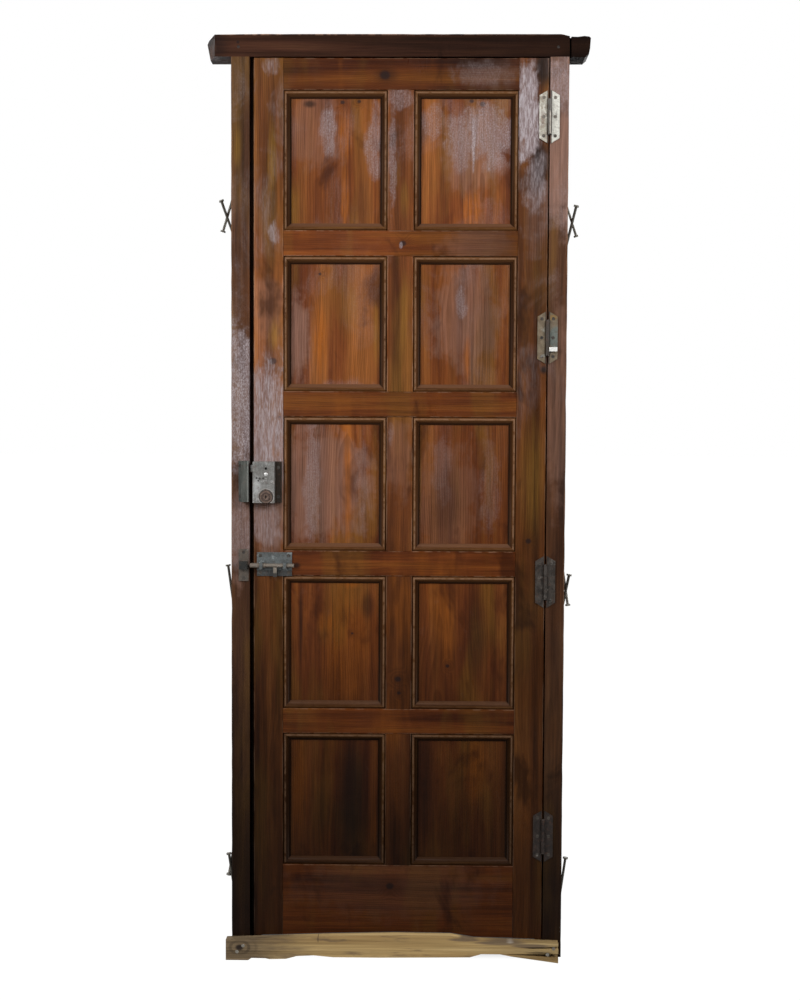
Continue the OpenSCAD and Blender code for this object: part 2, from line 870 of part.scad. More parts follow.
// Mitred strip along +X, with its width towards +Y and its height towards +Z
module moulding_strip(length) {
    intersection() {
        rotate([90, 0, 90]) linear_extrude(length) moulding_section();
        translate([0, 0, -over]) linear_extrude(leaf_t)
            polygon([[0, 0], [length, 0], [length - moulding_w, moulding_w],
                     [moulding_w, moulding_w]]);
    }
}

// Four strips round one opening, on the face that looks towards +Z here
module moulding_ring(width, height) {
    moulding_strip(width);
    translate([width, 0, 0]) rotate([0, 0, 90]) moulding_strip(height);
    translate([width, height, 0]) rotate([0, 0, 180]) moulding_strip(width);
    translate([0, height, 0]) rotate([0, 0, 270]) moulding_strip(height);
}

module mouldings_row(row) {
    color("#6d4433")
    for (column = [0:1], face = [-1, 1])
        translate([opening_x(column), leaf_mid_y + face * panel_t / 2, opening_z(row)])
            mirror([0, face > 0 ? 1 : 0, 0])
                rotate([90, 0, 0]) moulding_ring(opening_w, opening_h(row));
}

// ---------------------------------------------------------------- rim lock

module lock_case() {
    inner_t = lock_t - lock_wall;
    color("#8d8c88")
    difference() {
        union() {
            translate([lock_x0, face_y - lock_t, lock_z]) cube([lock_w, lock_t, lock_h]);
            translate([lock_x0, face_y - lock_flange_t, lock_z])
                cube([lock_w + lock_flange_w, lock_flange_t, lock_h]);
        }
        translate([lock_x0 + lock_wall, face_y - inner_t, lock_z + lock_wall])
            cube([lock_w - 2 * lock_wall, inner_t + over, lock_h - 2 * lock_wall]);
        translate([lock_x0 + lock_wall, face_y - lock_flange_t + lock_wall, lock_z + lock_wall])
            cube([lock_w + lock_flange_w - 2 * lock_wall, lock_flange_t,
                  lock_h - 2 * lock_wall]);
        translate([lock_x0 - over, tongue_y - tongue_t / 2 - tongue_fit,
                   tongue_z - tongue_h / 2 - tongue_fit])
            cube([lock_wall + 2 * over, tongue_t + 2 * tongue_fit, tongue_h + 2 * tongue_fit]);
        translate([bush_x, face_y - lock_t - over, bush_z])
            rod_y(barrel_r + hole_fit, lock_wall + 2 * over);
        translate([bush_x, face_y - lock_t - over, tongue_z])
            rod_y(rivet_hole_r, lock_wall + 2 * over);
        leaf_fitting_screw_set(hole_fit);
    }
}

// Plate under the case that carries the guide stud of the tongue
module lock_back_plate() {
    gap = 0.3;
    stud_r = 2.5;
    stud_y = tongue_y - tongue_t / 2 - 2;
    color("#5c5a54")
    difference() {
        union() {
            translate([lock_x0 + lock_wall + gap, face_y - lock_wall, lock_z + lock_wall + gap])
                cube([lock_w - 2 * (lock_wall + gap), lock_wall, lock_h - 2 * (lock_wall + gap)]);
            translate([lock_x0 + stud_in, stud_y, tongue_z])
                rod_y(stud_r, face_y - over - stud_y);
        }
        translate([bush_x, face_y - lock_wall - over, bush_z])
            rod_y(barrel_r + hole_fit, lock_wall + 2 * over);
    }
}

// Sliding tongue with a slot for the guide stud and a notch for the key
module lock_tongue() {
    tail = stud_in + tongue_throw + 1;
    slot_half = 3;
    notch_w = 7;
    notch_h = 4;
    color("#a8a6a0")
    difference() {
        translate([lock_x0 - tongue_out, tongue_y - tongue_t / 2, tongue_z - tongue_h / 2])
            cube([tongue_out + tail, tongue_t, tongue_h]);
        translate([lock_x0 + stud_in - slot_half, tongue_y - tongue_t, tongue_z - slot_half])
            cube([tongue_throw + 2 * slot_half, 2 * tongue_t, 2 * slot_half]);
        translate([bush_x - notch_w / 2 - 1, tongue_y - tongue_t, tongue_z - tongue_h / 2 - over])
            cube([notch_w, 2 * tongue_t, notch_h + over]);
    }
}

// Flat spring bent over the tongue, with its foot against the top of the case
module lock_spring() {
    strip = 0.8;
    wide = 8;
    foot_x = lock_x0 + 8;
    bend_x = lock_x0 + stud_in;
    roof = lock_z + lock_h - lock_wall;
    room = roof - tongue_z - tongue_h / 2;
    arc_r = room - 0.3;
    color("#777670")
    translate([foot_x, tongue_y - wide / 2, roof - strip])
        cube([bend_x - foot_x, wide, strip]);
    color("#777670")
    translate([bend_x, tongue_y + wide / 2, roof - arc_r]) rotate([90, 0, 0])
        linear_extrude(wide) intersection() {
            difference() {
                circle(r = arc_r);
                circle(r = arc_r - strip);
            }
            square(arc_r);
        }
}

// Stepped bush on the case and the key barrel that runs through the leaf
module key_barrel() {
    front = face_y - lock_t;
    flange = 1.6;
    boss_r = 9.5;
    boss_h = 3.6;
    dimple_r = 12;
    dimple_d = 1;
    key_slot = [2, 30, 6];
    slot_drop = 4;
    back_slot_d = 12;
    color("#6b5546")
    difference() {
        union() {
            translate([bush_x, front - flange, bush_z]) rod_y(bush_r, flange);
            translate([bush_x, front - boss_h, bush_z]) rod_y(boss_r, boss_h);
            translate([bush_x, front - over, bush_z]) rod_y(barrel_r, lock_t + leaf_t + over);
        }
        translate([bush_x, front - boss_h - dimple_r + dimple_d, bush_z]) sphere(r = dimple_r);
        for (y = [front - boss_h - over, face_y + leaf_t - back_slot_d])
            translate([bush_x - key_slot[0] / 2, y, bush_z - slot_drop]) cube(key_slot);
    }
}

// Oblong plate with round ends and a keyhole
module back_escutcheon() {
    plate_t = 1.5;
    end_r = 13;
    straight_h = 18;
    hole_r = 2.2;
    slot = [2, plate_t + 2 * over, 7];
    color("#6f675a")
    translate([bush_x, face_y + leaf_t, bush_z])
    difference() {
        union() {
            for (side = [-1, 1]) translate([0, 0, side * straight_h / 2]) rod_y(end_r, plate_t);
            translate([-end_r, 0, -straight_h / 2]) cube([2 * end_r, plate_t, straight_h]);
        }
        translate([0, -over, hole_r]) rod_y(hole_r, plate_t + 2 * over);
        translate([-slot[0] / 2, -over, hole_r - slot[2]]) cube(slot);
    }
}

// -------------------------------------------------------------- slide bolt

// Screws of the lock case and of the bolt plate
module leaf_fitting_screw_set(fit = 0) {
    for (z = [lock_z + case_screw_in, lock_z + lock_h - case_screw_in])
        translate([lock_x0 + lock_w + lock_flange_w / 2, face_y - lock_flange_t, z])
            wood_screw(fit);
    for (x = [bolt_plate_x0 + bolt_screw_in, bolt_plate_x1 - bolt_screw_in])
        for (z = [bolt_plate_z0 + bolt_screw_in,
                  bolt_plate_z0 + bolt_plate_h - bolt_screw_in])
            translate([x, face_y - bolt_plate_t, z]) wood_screw(fit, short_screw_l);
}

module leaf_fitting_screws() {
    color("#8a877f") leaf_fitting_screw_set();
}

// Plate with two bridges that guide the rod
module bolt_plate() {
    color("#6c7274")
    difference() {
        union() {
            translate([bolt_plate_x0, face_y - bolt_plate_t, bolt_plate_z0])
                cube([bolt_plate_w, bolt_plate_t, bolt_plate_h]);
            bridge(strap_1_x, strap_w, rod_r);
            bridge(strap_2_x, strap_w, rod_thin_r);
        }
        leaf_fitting_screw_set(hole_fit);
    }
}

module bolt_rod() {
    tip_r = 1.5;
    color("#7f776a") {
        translate([rod_x0, rod_y, bolt_z]) rotate([0, 90, 0]) {
            cylinder(r1 = rod_r - tip_r, r2 = rod_r, h = tip_r);
            translate([0, 0, tip_r]) cylinder(r = rod_r, h = rod_thick_l - tip_r);
            cylinder(r = rod_thin_r - tip_r, h = rod_l);
            translate([0, 0, rod_thick_l - over])
                cylinder(r = rod_thin_r, h = rod_l - rod_thick_l + over);
        }
        translate([lug_x, rod_y - lug_t / 2, bolt_z - rod_thin_r - lug_l])
            cube([lug_w, lug_t, lug_l + rod_thin_r]);
    }
}

// ------------------------------------------------------------------- nodes

head();
jamb_lock_side();
jamb_hinge_side();
frame_pegs();
base_batten();
batten_nails();
fixing_nails_left();
fixing_nails_right();
lock_keeper();
keeper_screws();
bolt_keeper_plate();
bolt_staple();
for (i = [0:len(hinge_z) - 1]) {
    color("#6a685f") hinge_plate(hinge_z[i], 1);
    color("#6a685f") hinge_plate(hinge_z[i], -1);
}
hinge_pins();
jamb_hinge_screws();
leaf_hinge_screws();
lock_stile();
hinge_stile();
color("#643f2e") rail(0);  // top_rail
for (i = [1:rows - 1])
    color("#643f2e") rail(i);
color("#4a2f22") rail(rows);  // bottom_rail
for (row = [0:rows - 1]) {
    muntin(row);
    panel(row, 0);
    panel(row, 1);
    mouldings_row(row);
}
lock_case();
lock_back_plate();
lock_spring();
key_barrel();
back_escutcheon();
bolt_plate();
leaf_fitting_screws();
lock_tongue();
bolt_rod();
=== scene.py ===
"""Looks of a ten-panel timber door in its frame: worn varnished pine, a raw batten and old ironwork."""

import json
import math
import random

import bmesh
import bpy
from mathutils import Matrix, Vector, noise


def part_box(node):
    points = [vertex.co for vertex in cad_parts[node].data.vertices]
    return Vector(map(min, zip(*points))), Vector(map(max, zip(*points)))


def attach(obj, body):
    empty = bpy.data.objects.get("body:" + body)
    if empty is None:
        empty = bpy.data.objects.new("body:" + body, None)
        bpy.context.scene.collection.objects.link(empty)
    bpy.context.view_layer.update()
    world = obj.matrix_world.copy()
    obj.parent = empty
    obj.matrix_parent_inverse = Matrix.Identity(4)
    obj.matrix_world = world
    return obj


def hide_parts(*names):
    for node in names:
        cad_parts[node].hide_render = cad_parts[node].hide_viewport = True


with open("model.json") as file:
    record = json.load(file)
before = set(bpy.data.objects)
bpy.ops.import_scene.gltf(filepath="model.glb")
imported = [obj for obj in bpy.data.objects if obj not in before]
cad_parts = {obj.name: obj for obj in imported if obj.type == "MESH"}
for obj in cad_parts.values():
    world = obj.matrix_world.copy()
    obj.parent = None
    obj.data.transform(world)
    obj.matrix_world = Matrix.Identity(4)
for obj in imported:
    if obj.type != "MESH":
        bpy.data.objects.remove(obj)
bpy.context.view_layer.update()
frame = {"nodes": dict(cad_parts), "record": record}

NODES = frame["nodes"]
RECORD = frame["record"]
SLOT_OF = {part["node"]: part["material_slot"] for part in RECORD["subparts"]}
BODY_OF = {node: body for body, members in RECORD["behaviour"]["bodies"].items() for node in members}
ROWS = 5
COLUMNS = ("left", "right")

# Planes and lines of the door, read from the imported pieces
LEAF_LOW, LEAF_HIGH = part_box("lock_stile")
FRONT = LEAF_LOW.y
JAMB = {"lock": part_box("jamb_lock_side"), "hinge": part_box("jamb_hinge_side")}
HEAD_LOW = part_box("head")[0]
HEAD_STOP_Z = LEAF_HIGH.z + 0.003
BATTEN_LOW, BATTEN_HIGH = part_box("base_batten")


def middle(node):
    """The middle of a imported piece's box."""
    low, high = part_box(node)
    return (low + high) / 2


# ------------------------------------------------------------------ finishes

class Finish:
    """A material being put together; every method hands back the socket that it made."""

    def __init__(self, name):
        self.material = bpy.data.materials.new(name)
        self.material.use_nodes = True
        self.tree = self.material.node_tree
        self.tree.nodes.clear()
        self.coordinates = self.tree.nodes.new("ShaderNodeTexCoord").outputs["Object"]

    def add(self, kind, inputs, output=0, **settings):
        node = self.tree.nodes.new("ShaderNode" + kind)
        for key, value in settings.items():
            setattr(node, key, value)
        for key, value in inputs.items():
            if isinstance(value, bpy.types.NodeSocket):
                self.tree.links.new(value, node.inputs[key])
            elif value is not None:
                node.inputs[key].default_value = value
        return node.outputs[output] if node.outputs else None

    def attribute(self, name, output="Vector"):
        return self.add("Attribute", {}, output, attribute_name=name)

    def place(self, vector, scale=(1, 1, 1), location=(0, 0, 0), rotation=(0, 0, 0)):
        return self.add("Mapping", {"Vector": vector, "Scale": scale, "Location": location,
                                    "Rotation": rotation})

    def math(self, operation, a, b=0.0, c=0.0):
        return self.add("Math", {0: a, 1: b, 2: c}, operation=operation)

    def times(self, *factors):
        product = factors[0]
        for factor in factors[1:]:
            product = self.math("MULTIPLY", product, factor)
        return product

    def axis(self, index, vector=None):
        return self.add("SeparateXYZ", {"Vector": self.coordinates if vector is None else vector}, index)

    def speckle(self, vector, scale, detail=3.0, roughness=0.55, distortion=0.0):
        return self.add("TexNoise", {"Vector": vector, "Scale": scale, "Detail": detail,
                                     "Roughness": roughness, "Distortion": distortion})

    def span(self, value, low, high, to_low=0.0, to_high=1.0, smooth=True):
        """value between low and high, as a number from to_low to to_high."""
        return self.add("MapRange", {"Value": value, "From Min": low, "From Max": high,
                                     "To Min": to_low, "To Max": to_high},
                        interpolation_type="SMOOTHSTEP" if smooth else "LINEAR")

    def ramp(self, value, stops):
        node = self.tree.nodes.new("ShaderNodeValToRGB")
        self.tree.links.new(value, node.inputs["Fac"])
        elements = node.color_ramp.elements
        while len(elements) < len(stops):
            elements.new(0.5)
        for element, (position, color) in zip(elements, stops):
            element.position = position
            element.color = (*color, 1.0)
        return node.outputs["Color"]

    def blend(self, factor, a, b, mode="MIX"):
        colors = [(*c, 1.0) if isinstance(c, tuple) and len(c) == 3 else c for c in (a, b)]
        return self.add("Mix", {"Factor": factor, 6: colors[0], 7: colors[1]}, 2,
                        data_type="RGBA", blend_type=mode)

    def reach(self, centre, size=(1, 1, 1)):
        """Distance from centre, with each axis measured in its own size."""
        moved = self.add("VectorMath", {0: self.coordinates, 1: centre}, operation="SUBTRACT")
        scaled = self.add("VectorMath", {0: moved, 1: tuple(1.0 / s for s in size)}, operation="MULTIPLY")
        return self.add("VectorMath", {0: scaled}, "Value", operation="LENGTH")

    def spot(self, centre, size, soft=0.5):
        """1 inside an ellipsoid at centre, falling to 0 at size."""
        return self.span(self.reach(centre, size), soft, 1.0, 1.0, 0.0)

    def bump(self, height, depth, normal=None):
        return self.add("Bump", {"Height": height, "Distance": depth, "Normal": normal, "Strength": 1.0})

    def surface(self, color, roughness, normal=None, metallic=0.0, coat=0.0, coat_roughness=0.1,
                specular=0.5):
        shader = self.add("BsdfPrincipled", {
            "Base Color": (*color, 1.0) if isinstance(color, tuple) else color,
            "Roughness": roughness, "Metallic": metallic, "Normal": normal,
            "Coat Weight": coat, "Coat Roughness": coat_roughness, "Specular IOR Level": specular,
            "Coat Normal": normal if coat else None})
        self.add("OutputMaterial", {"Surface": shader})
        return self.material


def shaded(color, share):
    """A colour taken down, or up, by a share."""
    return tuple(c * share for c in color)


SOOT = (0.014, 0.009, 0.008)
KNOT = (0.030, 0.017, 0.015)
# Three of these colours are painted light: lilac-grey glare speckles, their grey haze, and a rose-brown sheen
GLARE_FLECK = (0.415, 0.362, 0.375)
GLARE_HAZE = (0.195, 0.140, 0.140)
ROSE_SHEEN = (0.250, 0.135, 0.098)
AMBER = (0.330, 0.095, 0.012)
GOLD = (0.235, 0.115, 0.018)

# How far a mark on a face reaches into the piece
DEEP = 0.05


def varnished_pine(name, dark, body, light, rings=0.5, gold=0.5, amber=0.5, glare=0.6, gloss=0.30,
                   foot=0.12, knots=(), smudges=(), flames=(), golden=(), glare_and_pale_spots=(), sheen_haze_spots=(),
                   high_glare=0.20, fleck=(420, 420, 230), specular=0.12, worn=(0.36, 0.20, 0.12)):
    """Stained and varnished pine. The grain runs along Z of the piece's own grain attribute.

    knots are (centre, size), and the other marks are (centre, reach along each axis, share).
    knots and smudges are dark, flames are amber figure, golden places are pale stain, glare spots are
    speckled with painted glare, a lilac-grey painted reflection (under the head, a strip made pale),
    and haze spots get an even rose-brown haze of painted sheen.
    """
    f = Finish(name)
    grain = f.attribute("grain")
    tone = f.attribute("tone", "Fac")
    wear = f.attribute("wear", "Fac")
    height = f.axis(2)

    # The rings bend round each knot
    pull = 0.0
    cores = 0.0
    for centre, size in knots:
        pull = f.math("MAXIMUM", pull, f.spot(centre, (size * 3.0, 1.0, size * 3.4), 0.0))
        cores = f.math("MAXIMUM", cores, f.spot(centre, (size, 1.0, size * 0.85), 0.45))

    sway = f.speckle(f.place(grain, (3.0, 3.0, 0.75)), 1.6, 3.0, 0.5)
    trunk = f.place(grain, (1.0, 1.0, 0.035), rotation=(0.02, 0.015, 0))
    across = f.math("POWER", f.math("ADD", f.math("POWER", f.axis(0, trunk), 2.0),
                                    f.math("POWER", f.axis(1, trunk), 2.0)), 0.5)
    radius = f.math("MULTIPLY_ADD", pull, 0.016, f.math("MULTIPLY_ADD", sway, 0.085, across))
    ring = f.math("FRACT", f.times(radius, 210.0))
    late_wood = f.times(f.span(ring, 0.15, 0.85), f.span(ring, 1.0, 0.93))

    bands = f.speckle(f.place(grain, (24, 24, 1.1)), 1.0, 4.0, 0.6)
    stripes = f.speckle(f.place(grain, (130, 130, 3.2)), 1.0, 3.0, 0.6)
    fibre = f.speckle(f.place(grain, (520, 520, 16)), 1.0, 3.0, 0.65)
    patch = f.speckle(f.place(f.coordinates, (9.0, 9.0, 4.6), (3.1, 0, 1.7)), 1.0, 4.0, 0.6, 0.4)
    blush = f.speckle(f.place(f.coordinates, (11.0, 11.0, 2.6), (0.4, 0, 5.2)), 1.0, 3.0, 0.55)

    color = f.ramp(bands, [(0.34, dark), (0.50, body), (0.66, light)])
    color = f.blend(f.times(f.span(blush, 0.50, 0.66), gold), color, GOLD)
    color = f.blend(f.times(f.span(blush, 0.46, 0.30), amber), color, AMBER)
    ragged = f.speckle(f.place(f.coordinates, (36, 36, 24)), 1.0, 4.0, 0.6, 0.2)
    # An even rose-brown haze of painted sheen at each haze spot
    for centre, size, share in sheen_haze_spots:
        near = f.math("ADD", f.spot(centre, size, 0.0), f.span(ragged, 0.30, 0.70, -0.45, 0.05, False))
        color = f.blend(f.times(f.span(near, 0.0, 0.50), share), color, ROSE_SHEEN)
    for centre, size, share in flames:
        lick = f.times(f.spot(centre, size, 0.25), f.span(stripes, 0.34, 0.52), share)
        color = f.blend(lick, color, AMBER)
    for centre, size, share in golden:
        color = f.blend(f.times(f.spot(centre, size, 0.1), f.span(stripes, 0.30, 0.55, 0.4, 1.0), share),
                        color, GOLD)
    streaked = f.times(late_wood, f.span(patch, 0.36, 0.58, 1.0, 0.35), rings)
    color = f.blend(streaked, color, shaded(body, 0.36))
    color = f.blend(0.7, color, f.span(stripes, 0.30, 0.70, 0.68, 1.30, False), "MULTIPLY")
    color = f.blend(0.7, color, f.span(fibre, 0.25, 0.75, 0.70, 1.28, False), "MULTIPLY")
    color = f.blend(f.span(patch, 0.55, 0.70, 0.0, 0.75), color, shaded(dark, 0.50))
    for centre, size, share in smudges:
        color = f.blend(f.times(f.spot(centre, size, 0.25), share), color, SOOT)
    if knots:
        color = f.blend(f.times(pull, 0.42), color, shaded(body, 0.55))
        color = f.blend(f.times(cores, 0.85), color, KNOT)
    grit = f.speckle(f.place(f.coordinates, (60, 60, 16)), 1.0, 3.0)
    color = f.blend(f.times(wear, f.span(grit, 0.40, 0.60), 0.5), color, worn)

    # Darker towards the bottom. Painted glare, a lilac-grey haze with speckles, lies high on the door
    # and at the listed spots
    drift = f.math("MULTIPLY_ADD", patch, 0.35, height)
    color = f.blend(1.0, color, f.span(drift, 0.30, 1.55, foot, 1.0), "MULTIPLY")
    color = f.blend(1.0, color, tone, "MULTIPLY")
    cloud = f.speckle(f.place(f.coordinates, (7.5, 7.5, 5.0), (1.3, 0, 0.6)), 1.0, 4.0, 0.6, 0.5)
    crackle = f.speckle(f.place(f.coordinates, fleck), 1.0, 3.0, 0.7, 0.4)
    glare_mask = f.times(f.span(height, 0.95, 1.80, 0.0, high_glare), f.span(cloud, 0.48, 0.64))
    # Painted glare at each listed spot; under the head the same speckles make a strip pale
    for centre, size, share in glare_and_pale_spots:
        near = f.spot(centre, size, 0.0)
        torn = f.math("ADD", near, f.span(ragged, 0.30, 0.70, -0.40, 0.40, False))
        patch_here = f.times(f.span(torn, 0.10, 0.80), f.span(near, 0.02, 0.35), share)
        glare_mask = f.math("MAXIMUM", glare_mask, patch_here)
    # Painted glare: a lilac-grey haze and speckles stand in for reflections of the lights on the varnish
    glare_veil = f.times(glare_mask, glare)
    color = f.blend(f.times(glare_veil, 0.65), color, GLARE_HAZE)
    glare_flecks = f.times(f.span(crackle, 0.36, 0.66, 0.10, 1.0), f.span(fibre, 0.36, 0.60, 0.45, 1.25, False))
    color = f.blend(f.times(glare_veil, glare_flecks), color, GLARE_FLECK)

    sheen = f.speckle(f.place(f.coordinates, (9, 9, 3.5)), 1.0, 4.0, 0.65)
    roughness = f.math("ADD", f.span(sheen, 0.30, 0.72, gloss * 0.8, gloss * 1.7, False), f.times(glare_veil, 0.2))
    waviness = f.speckle(f.place(f.coordinates, (12, 12, 7)), 1.0, 2.0)
    pulled = f.bump(waviness, 0.0015)
    lines = f.math("ADD", f.times(late_wood, 0.2), f.times(stripes, 0.5))
    normal = f.bump(f.math("ADD", f.times(crackle, 0.8), lines), 0.0004, pulled)
    return f.surface(color, roughness, normal, coat=0.02, coat_roughness=0.2, specular=specular)


def bead_pine(name):
    """The mouldings: painted shade and dirt in the quirk and the cove, painted light on the foot strip's lip,
    and a rubbed crest along the bead that also carries a painted highlight.
    """
    f = Finish(name)
    grain = f.attribute("grain")
    tone = f.attribute("tone", "Fac")
    stripes = f.speckle(f.place(grain, (160, 160, 5)), 1.0, 3.0, 0.6)
    chips = f.speckle(f.place(f.coordinates, (75, 75, 75)), 1.0, 3.0, 0.6)
    color = f.ramp(stripes, [(0.32, (0.050, 0.018, 0.006)), (0.50, (0.110, 0.041, 0.012)),
                             (0.68, (0.170, 0.074, 0.022))])
    depth = f.axis(1)
    strip = f.attribute("wear", "Fac")
    # Painted shade and dirt in the cove, on all but the foot strip
    low = f.span(depth, FRONT + 0.0030, FRONT + 0.0068)
    color = f.blend(f.times(low, f.span(strip, 0.1, 0.4, 0.0, 0.75)), color, (0.036, 0.014, 0.006))
    # Painted shade in the deep quirk
    quirk = f.span(depth, FRONT + 0.0100, FRONT + 0.0108)
    color = f.blend(f.times(quirk, f.span(strip, 0.1, 0.4), 0.8), color, (0.014, 0.006, 0.003))
    # Painted light on the upward-facing lip of the foot strip
    shelf = f.times(low, f.span(strip, 0.4, 0.1))
    color = f.blend(f.times(shelf, 0.75), color, (0.170, 0.078, 0.042))
    band = f.times(f.span(strip, 0.9, 1.0), f.span(depth, FRONT + 0.0095, FRONT + 0.0060))
    color = f.blend(f.times(band, 0.75), color, (0.165, 0.070, 0.026))
    # The crest: lighter wear and a painted highlight
    crest = f.times(f.span(depth, FRONT + 0.0020, FRONT + 0.0013), f.span(chips, 0.34, 0.54, 0.15, 1.0))
    color = f.blend(f.times(crest, f.span(strip, 0.0, 0.5, 0.10, 0.68)), color, (0.275, 0.157, 0.092))
    drift = f.math("MULTIPLY_ADD", chips, 0.25, f.axis(2))
    color = f.blend(1.0, color, f.span(drift, 0.30, 1.35, 0.22, 1.0), "MULTIPLY")
    color = f.blend(1.0, color, tone, "MULTIPLY")
    return f.surface(color, 0.42, f.bump(stripes, 0.0003), specular=0.04)


def raw_pine(name):
    """Sawn, unfinished pine: tan, weathered grey at the lock side."""
    f = Finish(name)
    grain = f.attribute("grain")
    tone = f.attribute("tone", "Fac")
    lines = f.speckle(f.place(grain, (230, 230, 3.0)), 1.0, 3.0, 0.6)
    bands = f.speckle(f.place(grain, (45, 45, 1.2)), 1.0, 3.0)
    dirt = f.speckle(f.place(grain, (60, 60, 9)), 1.0, 4.0, 0.65)
    color = f.ramp(bands, [(0.32, (0.300, 0.184, 0.072)), (0.48, (0.480, 0.324, 0.137)),
                           (0.64, (0.620, 0.446, 0.212))])
    color = f.blend(0.6, color, f.span(lines, 0.3, 0.7, 0.60, 1.22, False), "MULTIPLY")
    color = f.blend(f.span(dirt, 0.54, 0.70, 0.0, 0.7), color, (0.150, 0.100, 0.060))
    color = f.blend(1.0, color, tone, "MULTIPLY")
    weather = f.math("MULTIPLY_ADD", dirt, 0.30, f.axis(0))
    grey = f.ramp(lines, [(0.3, (0.060, 0.040, 0.023)), (0.6, (0.190, 0.134, 0.078))])
    color = f.blend(f.span(weather, BATTEN_LOW.x + 0.20, BATTEN_LOW.x + 0.38, 0.95, 0.0), color, grey)
    for x, z, length, width in ((0.215, 0.0530, 0.050, 0.005), (0.135, 0.0465, 0.070, 0.006),
                                (0.065, 0.0400, 0.055, 0.006)):
        sliver = f.spot((BATTEN_HIGH.x - x, BATTEN_LOW.y, z), (length, DEEP, width), 0.55)
        color = f.blend(f.times(sliver, 0.8), color, (0.150, 0.105, 0.070))
    # A small whitish painted highlight on the face
    pale = f.spot((BATTEN_HIGH.x - 0.112, BATTEN_LOW.y, 0.048), (0.012, DEEP, 0.003), 0.0)
    color = f.blend(f.times(pale, 0.8), color, (0.48, 0.42, 0.35))
    for x, z, length in ((0.048, 0.036, 0.050), (0.042, 0.024, 0.046)):
        split = f.spot((BATTEN_HIGH.x - x, BATTEN_LOW.y, z), (length, DEEP, 0.0024), 0.4)
        color = f.blend(f.times(split, 0.85), color, (0.030, 0.018, 0.010))
    heart = (BATTEN_LOW.x + 0.032, BATTEN_LOW.y, 0.030)
    knot = f.spot(heart, (0.013, DEEP, 0.010), 0.3)
    ripple = f.math("SINE", f.reach(heart, (0.0028, 1.0, 0.0020)))
    eye = f.spot((BATTEN_LOW.x + 0.035, BATTEN_LOW.y, 0.030), (0.055, DEEP, 0.026), 0.2)
    color = f.blend(f.times(eye, f.span(ripple, -0.2, 0.8, 0.0, 0.6)), color, (0.045, 0.030, 0.020))
    color = f.blend(knot, color, (0.030, 0.020, 0.015))
    crack = f.spot((-0.181, BATTEN_LOW.y, 0.052), (0.0016, DEEP, 0.012), 0.4)
    color = f.blend(f.times(crack, 0.8), color, (0.060, 0.040, 0.025))
    height = f.math("ADD", lines, f.times(bands, 0.6))
    return f.surface(color, 0.80, f.bump(height, 0.0014), specular=0.2)


def old_metal(name, base, second, worn, wear_share=0.35, metallic=0.6, rust=0.25, roughness=0.42,
              streak=(1, 1, 1), zones=()):
    """Old iron under worn paint: two tones, bright worn places, rust, and zones of another colour."""
    f = Finish(name)
    at = f.place(f.coordinates, streak)
    clouds = f.speckle(at, 70.0, 5.0, 0.62)
    fine = f.speckle(at, 420.0, 4.0, 0.6)
    rub = f.speckle(at, 48.0, 5.0, 0.7, 0.5)
    oxide = f.speckle(f.coordinates, 110.0, 5.0, 0.65)
    color = f.blend(f.span(clouds, 0.38, 0.62), base, second)
    worn_mask = f.span(rub, 0.66 - 0.3 * wear_share, 0.74 - 0.3 * wear_share)
    color = f.blend(f.times(worn_mask, 0.8), color, worn)
    for mask_of, zone_color, share in zones:
        color = f.blend(f.times(mask_of(f), share), color, zone_color)
    color = f.blend(0.5, color, f.span(fine, 0.3, 0.7, 0.55, 1.35, False), "MULTIPLY")
    color = f.blend(f.times(f.span(oxide, 0.54, 0.68), rust), color, (0.105, 0.040, 0.018))
    rough = f.span(clouds, 0.3, 0.7, roughness * 0.75, roughness * 1.4, False)
    height = f.math("ADD", clouds, f.times(fine, 0.5))
    return f.surface(color, rough, f.bump(height, 0.0006), metallic=metallic)


def ellipsoid(centre, size, soft=0.5):
    """A zone that is 1 near its centre and falls to 0 at size."""
    return lambda f: f.spot(centre, size, soft)


def beyond(index, start, end):
    """From 0 at start to 1 at end along an axis."""
    return lambda f: f.span(f.axis(index), start, end)


def plain(name, color, roughness, metallic=0.0):
    """One colour with a little grit in it."""
    f = Finish(name)
    grit = f.speckle(f.coordinates, 300.0, 3.0)
    tinted = f.blend(0.4, color, f.span(grit, 0.3, 0.7, 0.6, 1.3, False), "MULTIPLY")
    return f.surface(tinted, roughness, f.bump(grit, 0.0002), metallic=metallic)


# -------------------------------------------------------------------- shapes

# How far apart a timber's arrises and a board's face are cut across
ARRIS_STEP = 0.03
BOARD_STEP = 0.04


def merged_copy(node):
    """The CAD piece as a bmesh, with its corners merged."""
    bm = bmesh.new()
    bm.from_mesh(NODES[node].data)
    bmesh.ops.remove_doubles(bm, verts=bm.verts, dist=2e-6)
    return bm


def plane_off(bm, point, normal):
    """Planes away what lies beyond a plane, and closes the cut."""
    cut = bmesh.ops.bisect_plane(bm, geom=bm.verts[:] + bm.edges[:] + bm.faces[:], dist=1e-6,
                                 plane_co=point, plane_no=normal, clear_outer=True)
    rim = [item for item in cut["geom_cut"] if isinstance(item, bmesh.types.BMEdge) and item.is_boundary]
    if rim:
        bmesh.ops.edgeloop_fill(bm, edges=rim)


def cross_cuts(bm, axis, step):
    """Cuts the piece square across at even steps, so that its arrises can wander."""
    low = min(v.co[axis] for v in bm.verts)
    high = max(v.co[axis] for v in bm.verts)
    normal = Vector((0, 0, 0))
    normal[axis] = 1
    count = int((high - low) / step)
    for i in range(1, count):
        point = Vector((0, 0, 0))
        point[axis] = low + (high - low) * i / count
        bmesh.ops.bisect_plane(bm, geom=bm.verts[:] + bm.edges[:] + bm.faces[:], dist=1e-6,
                               plane_co=point, plane_no=normal)


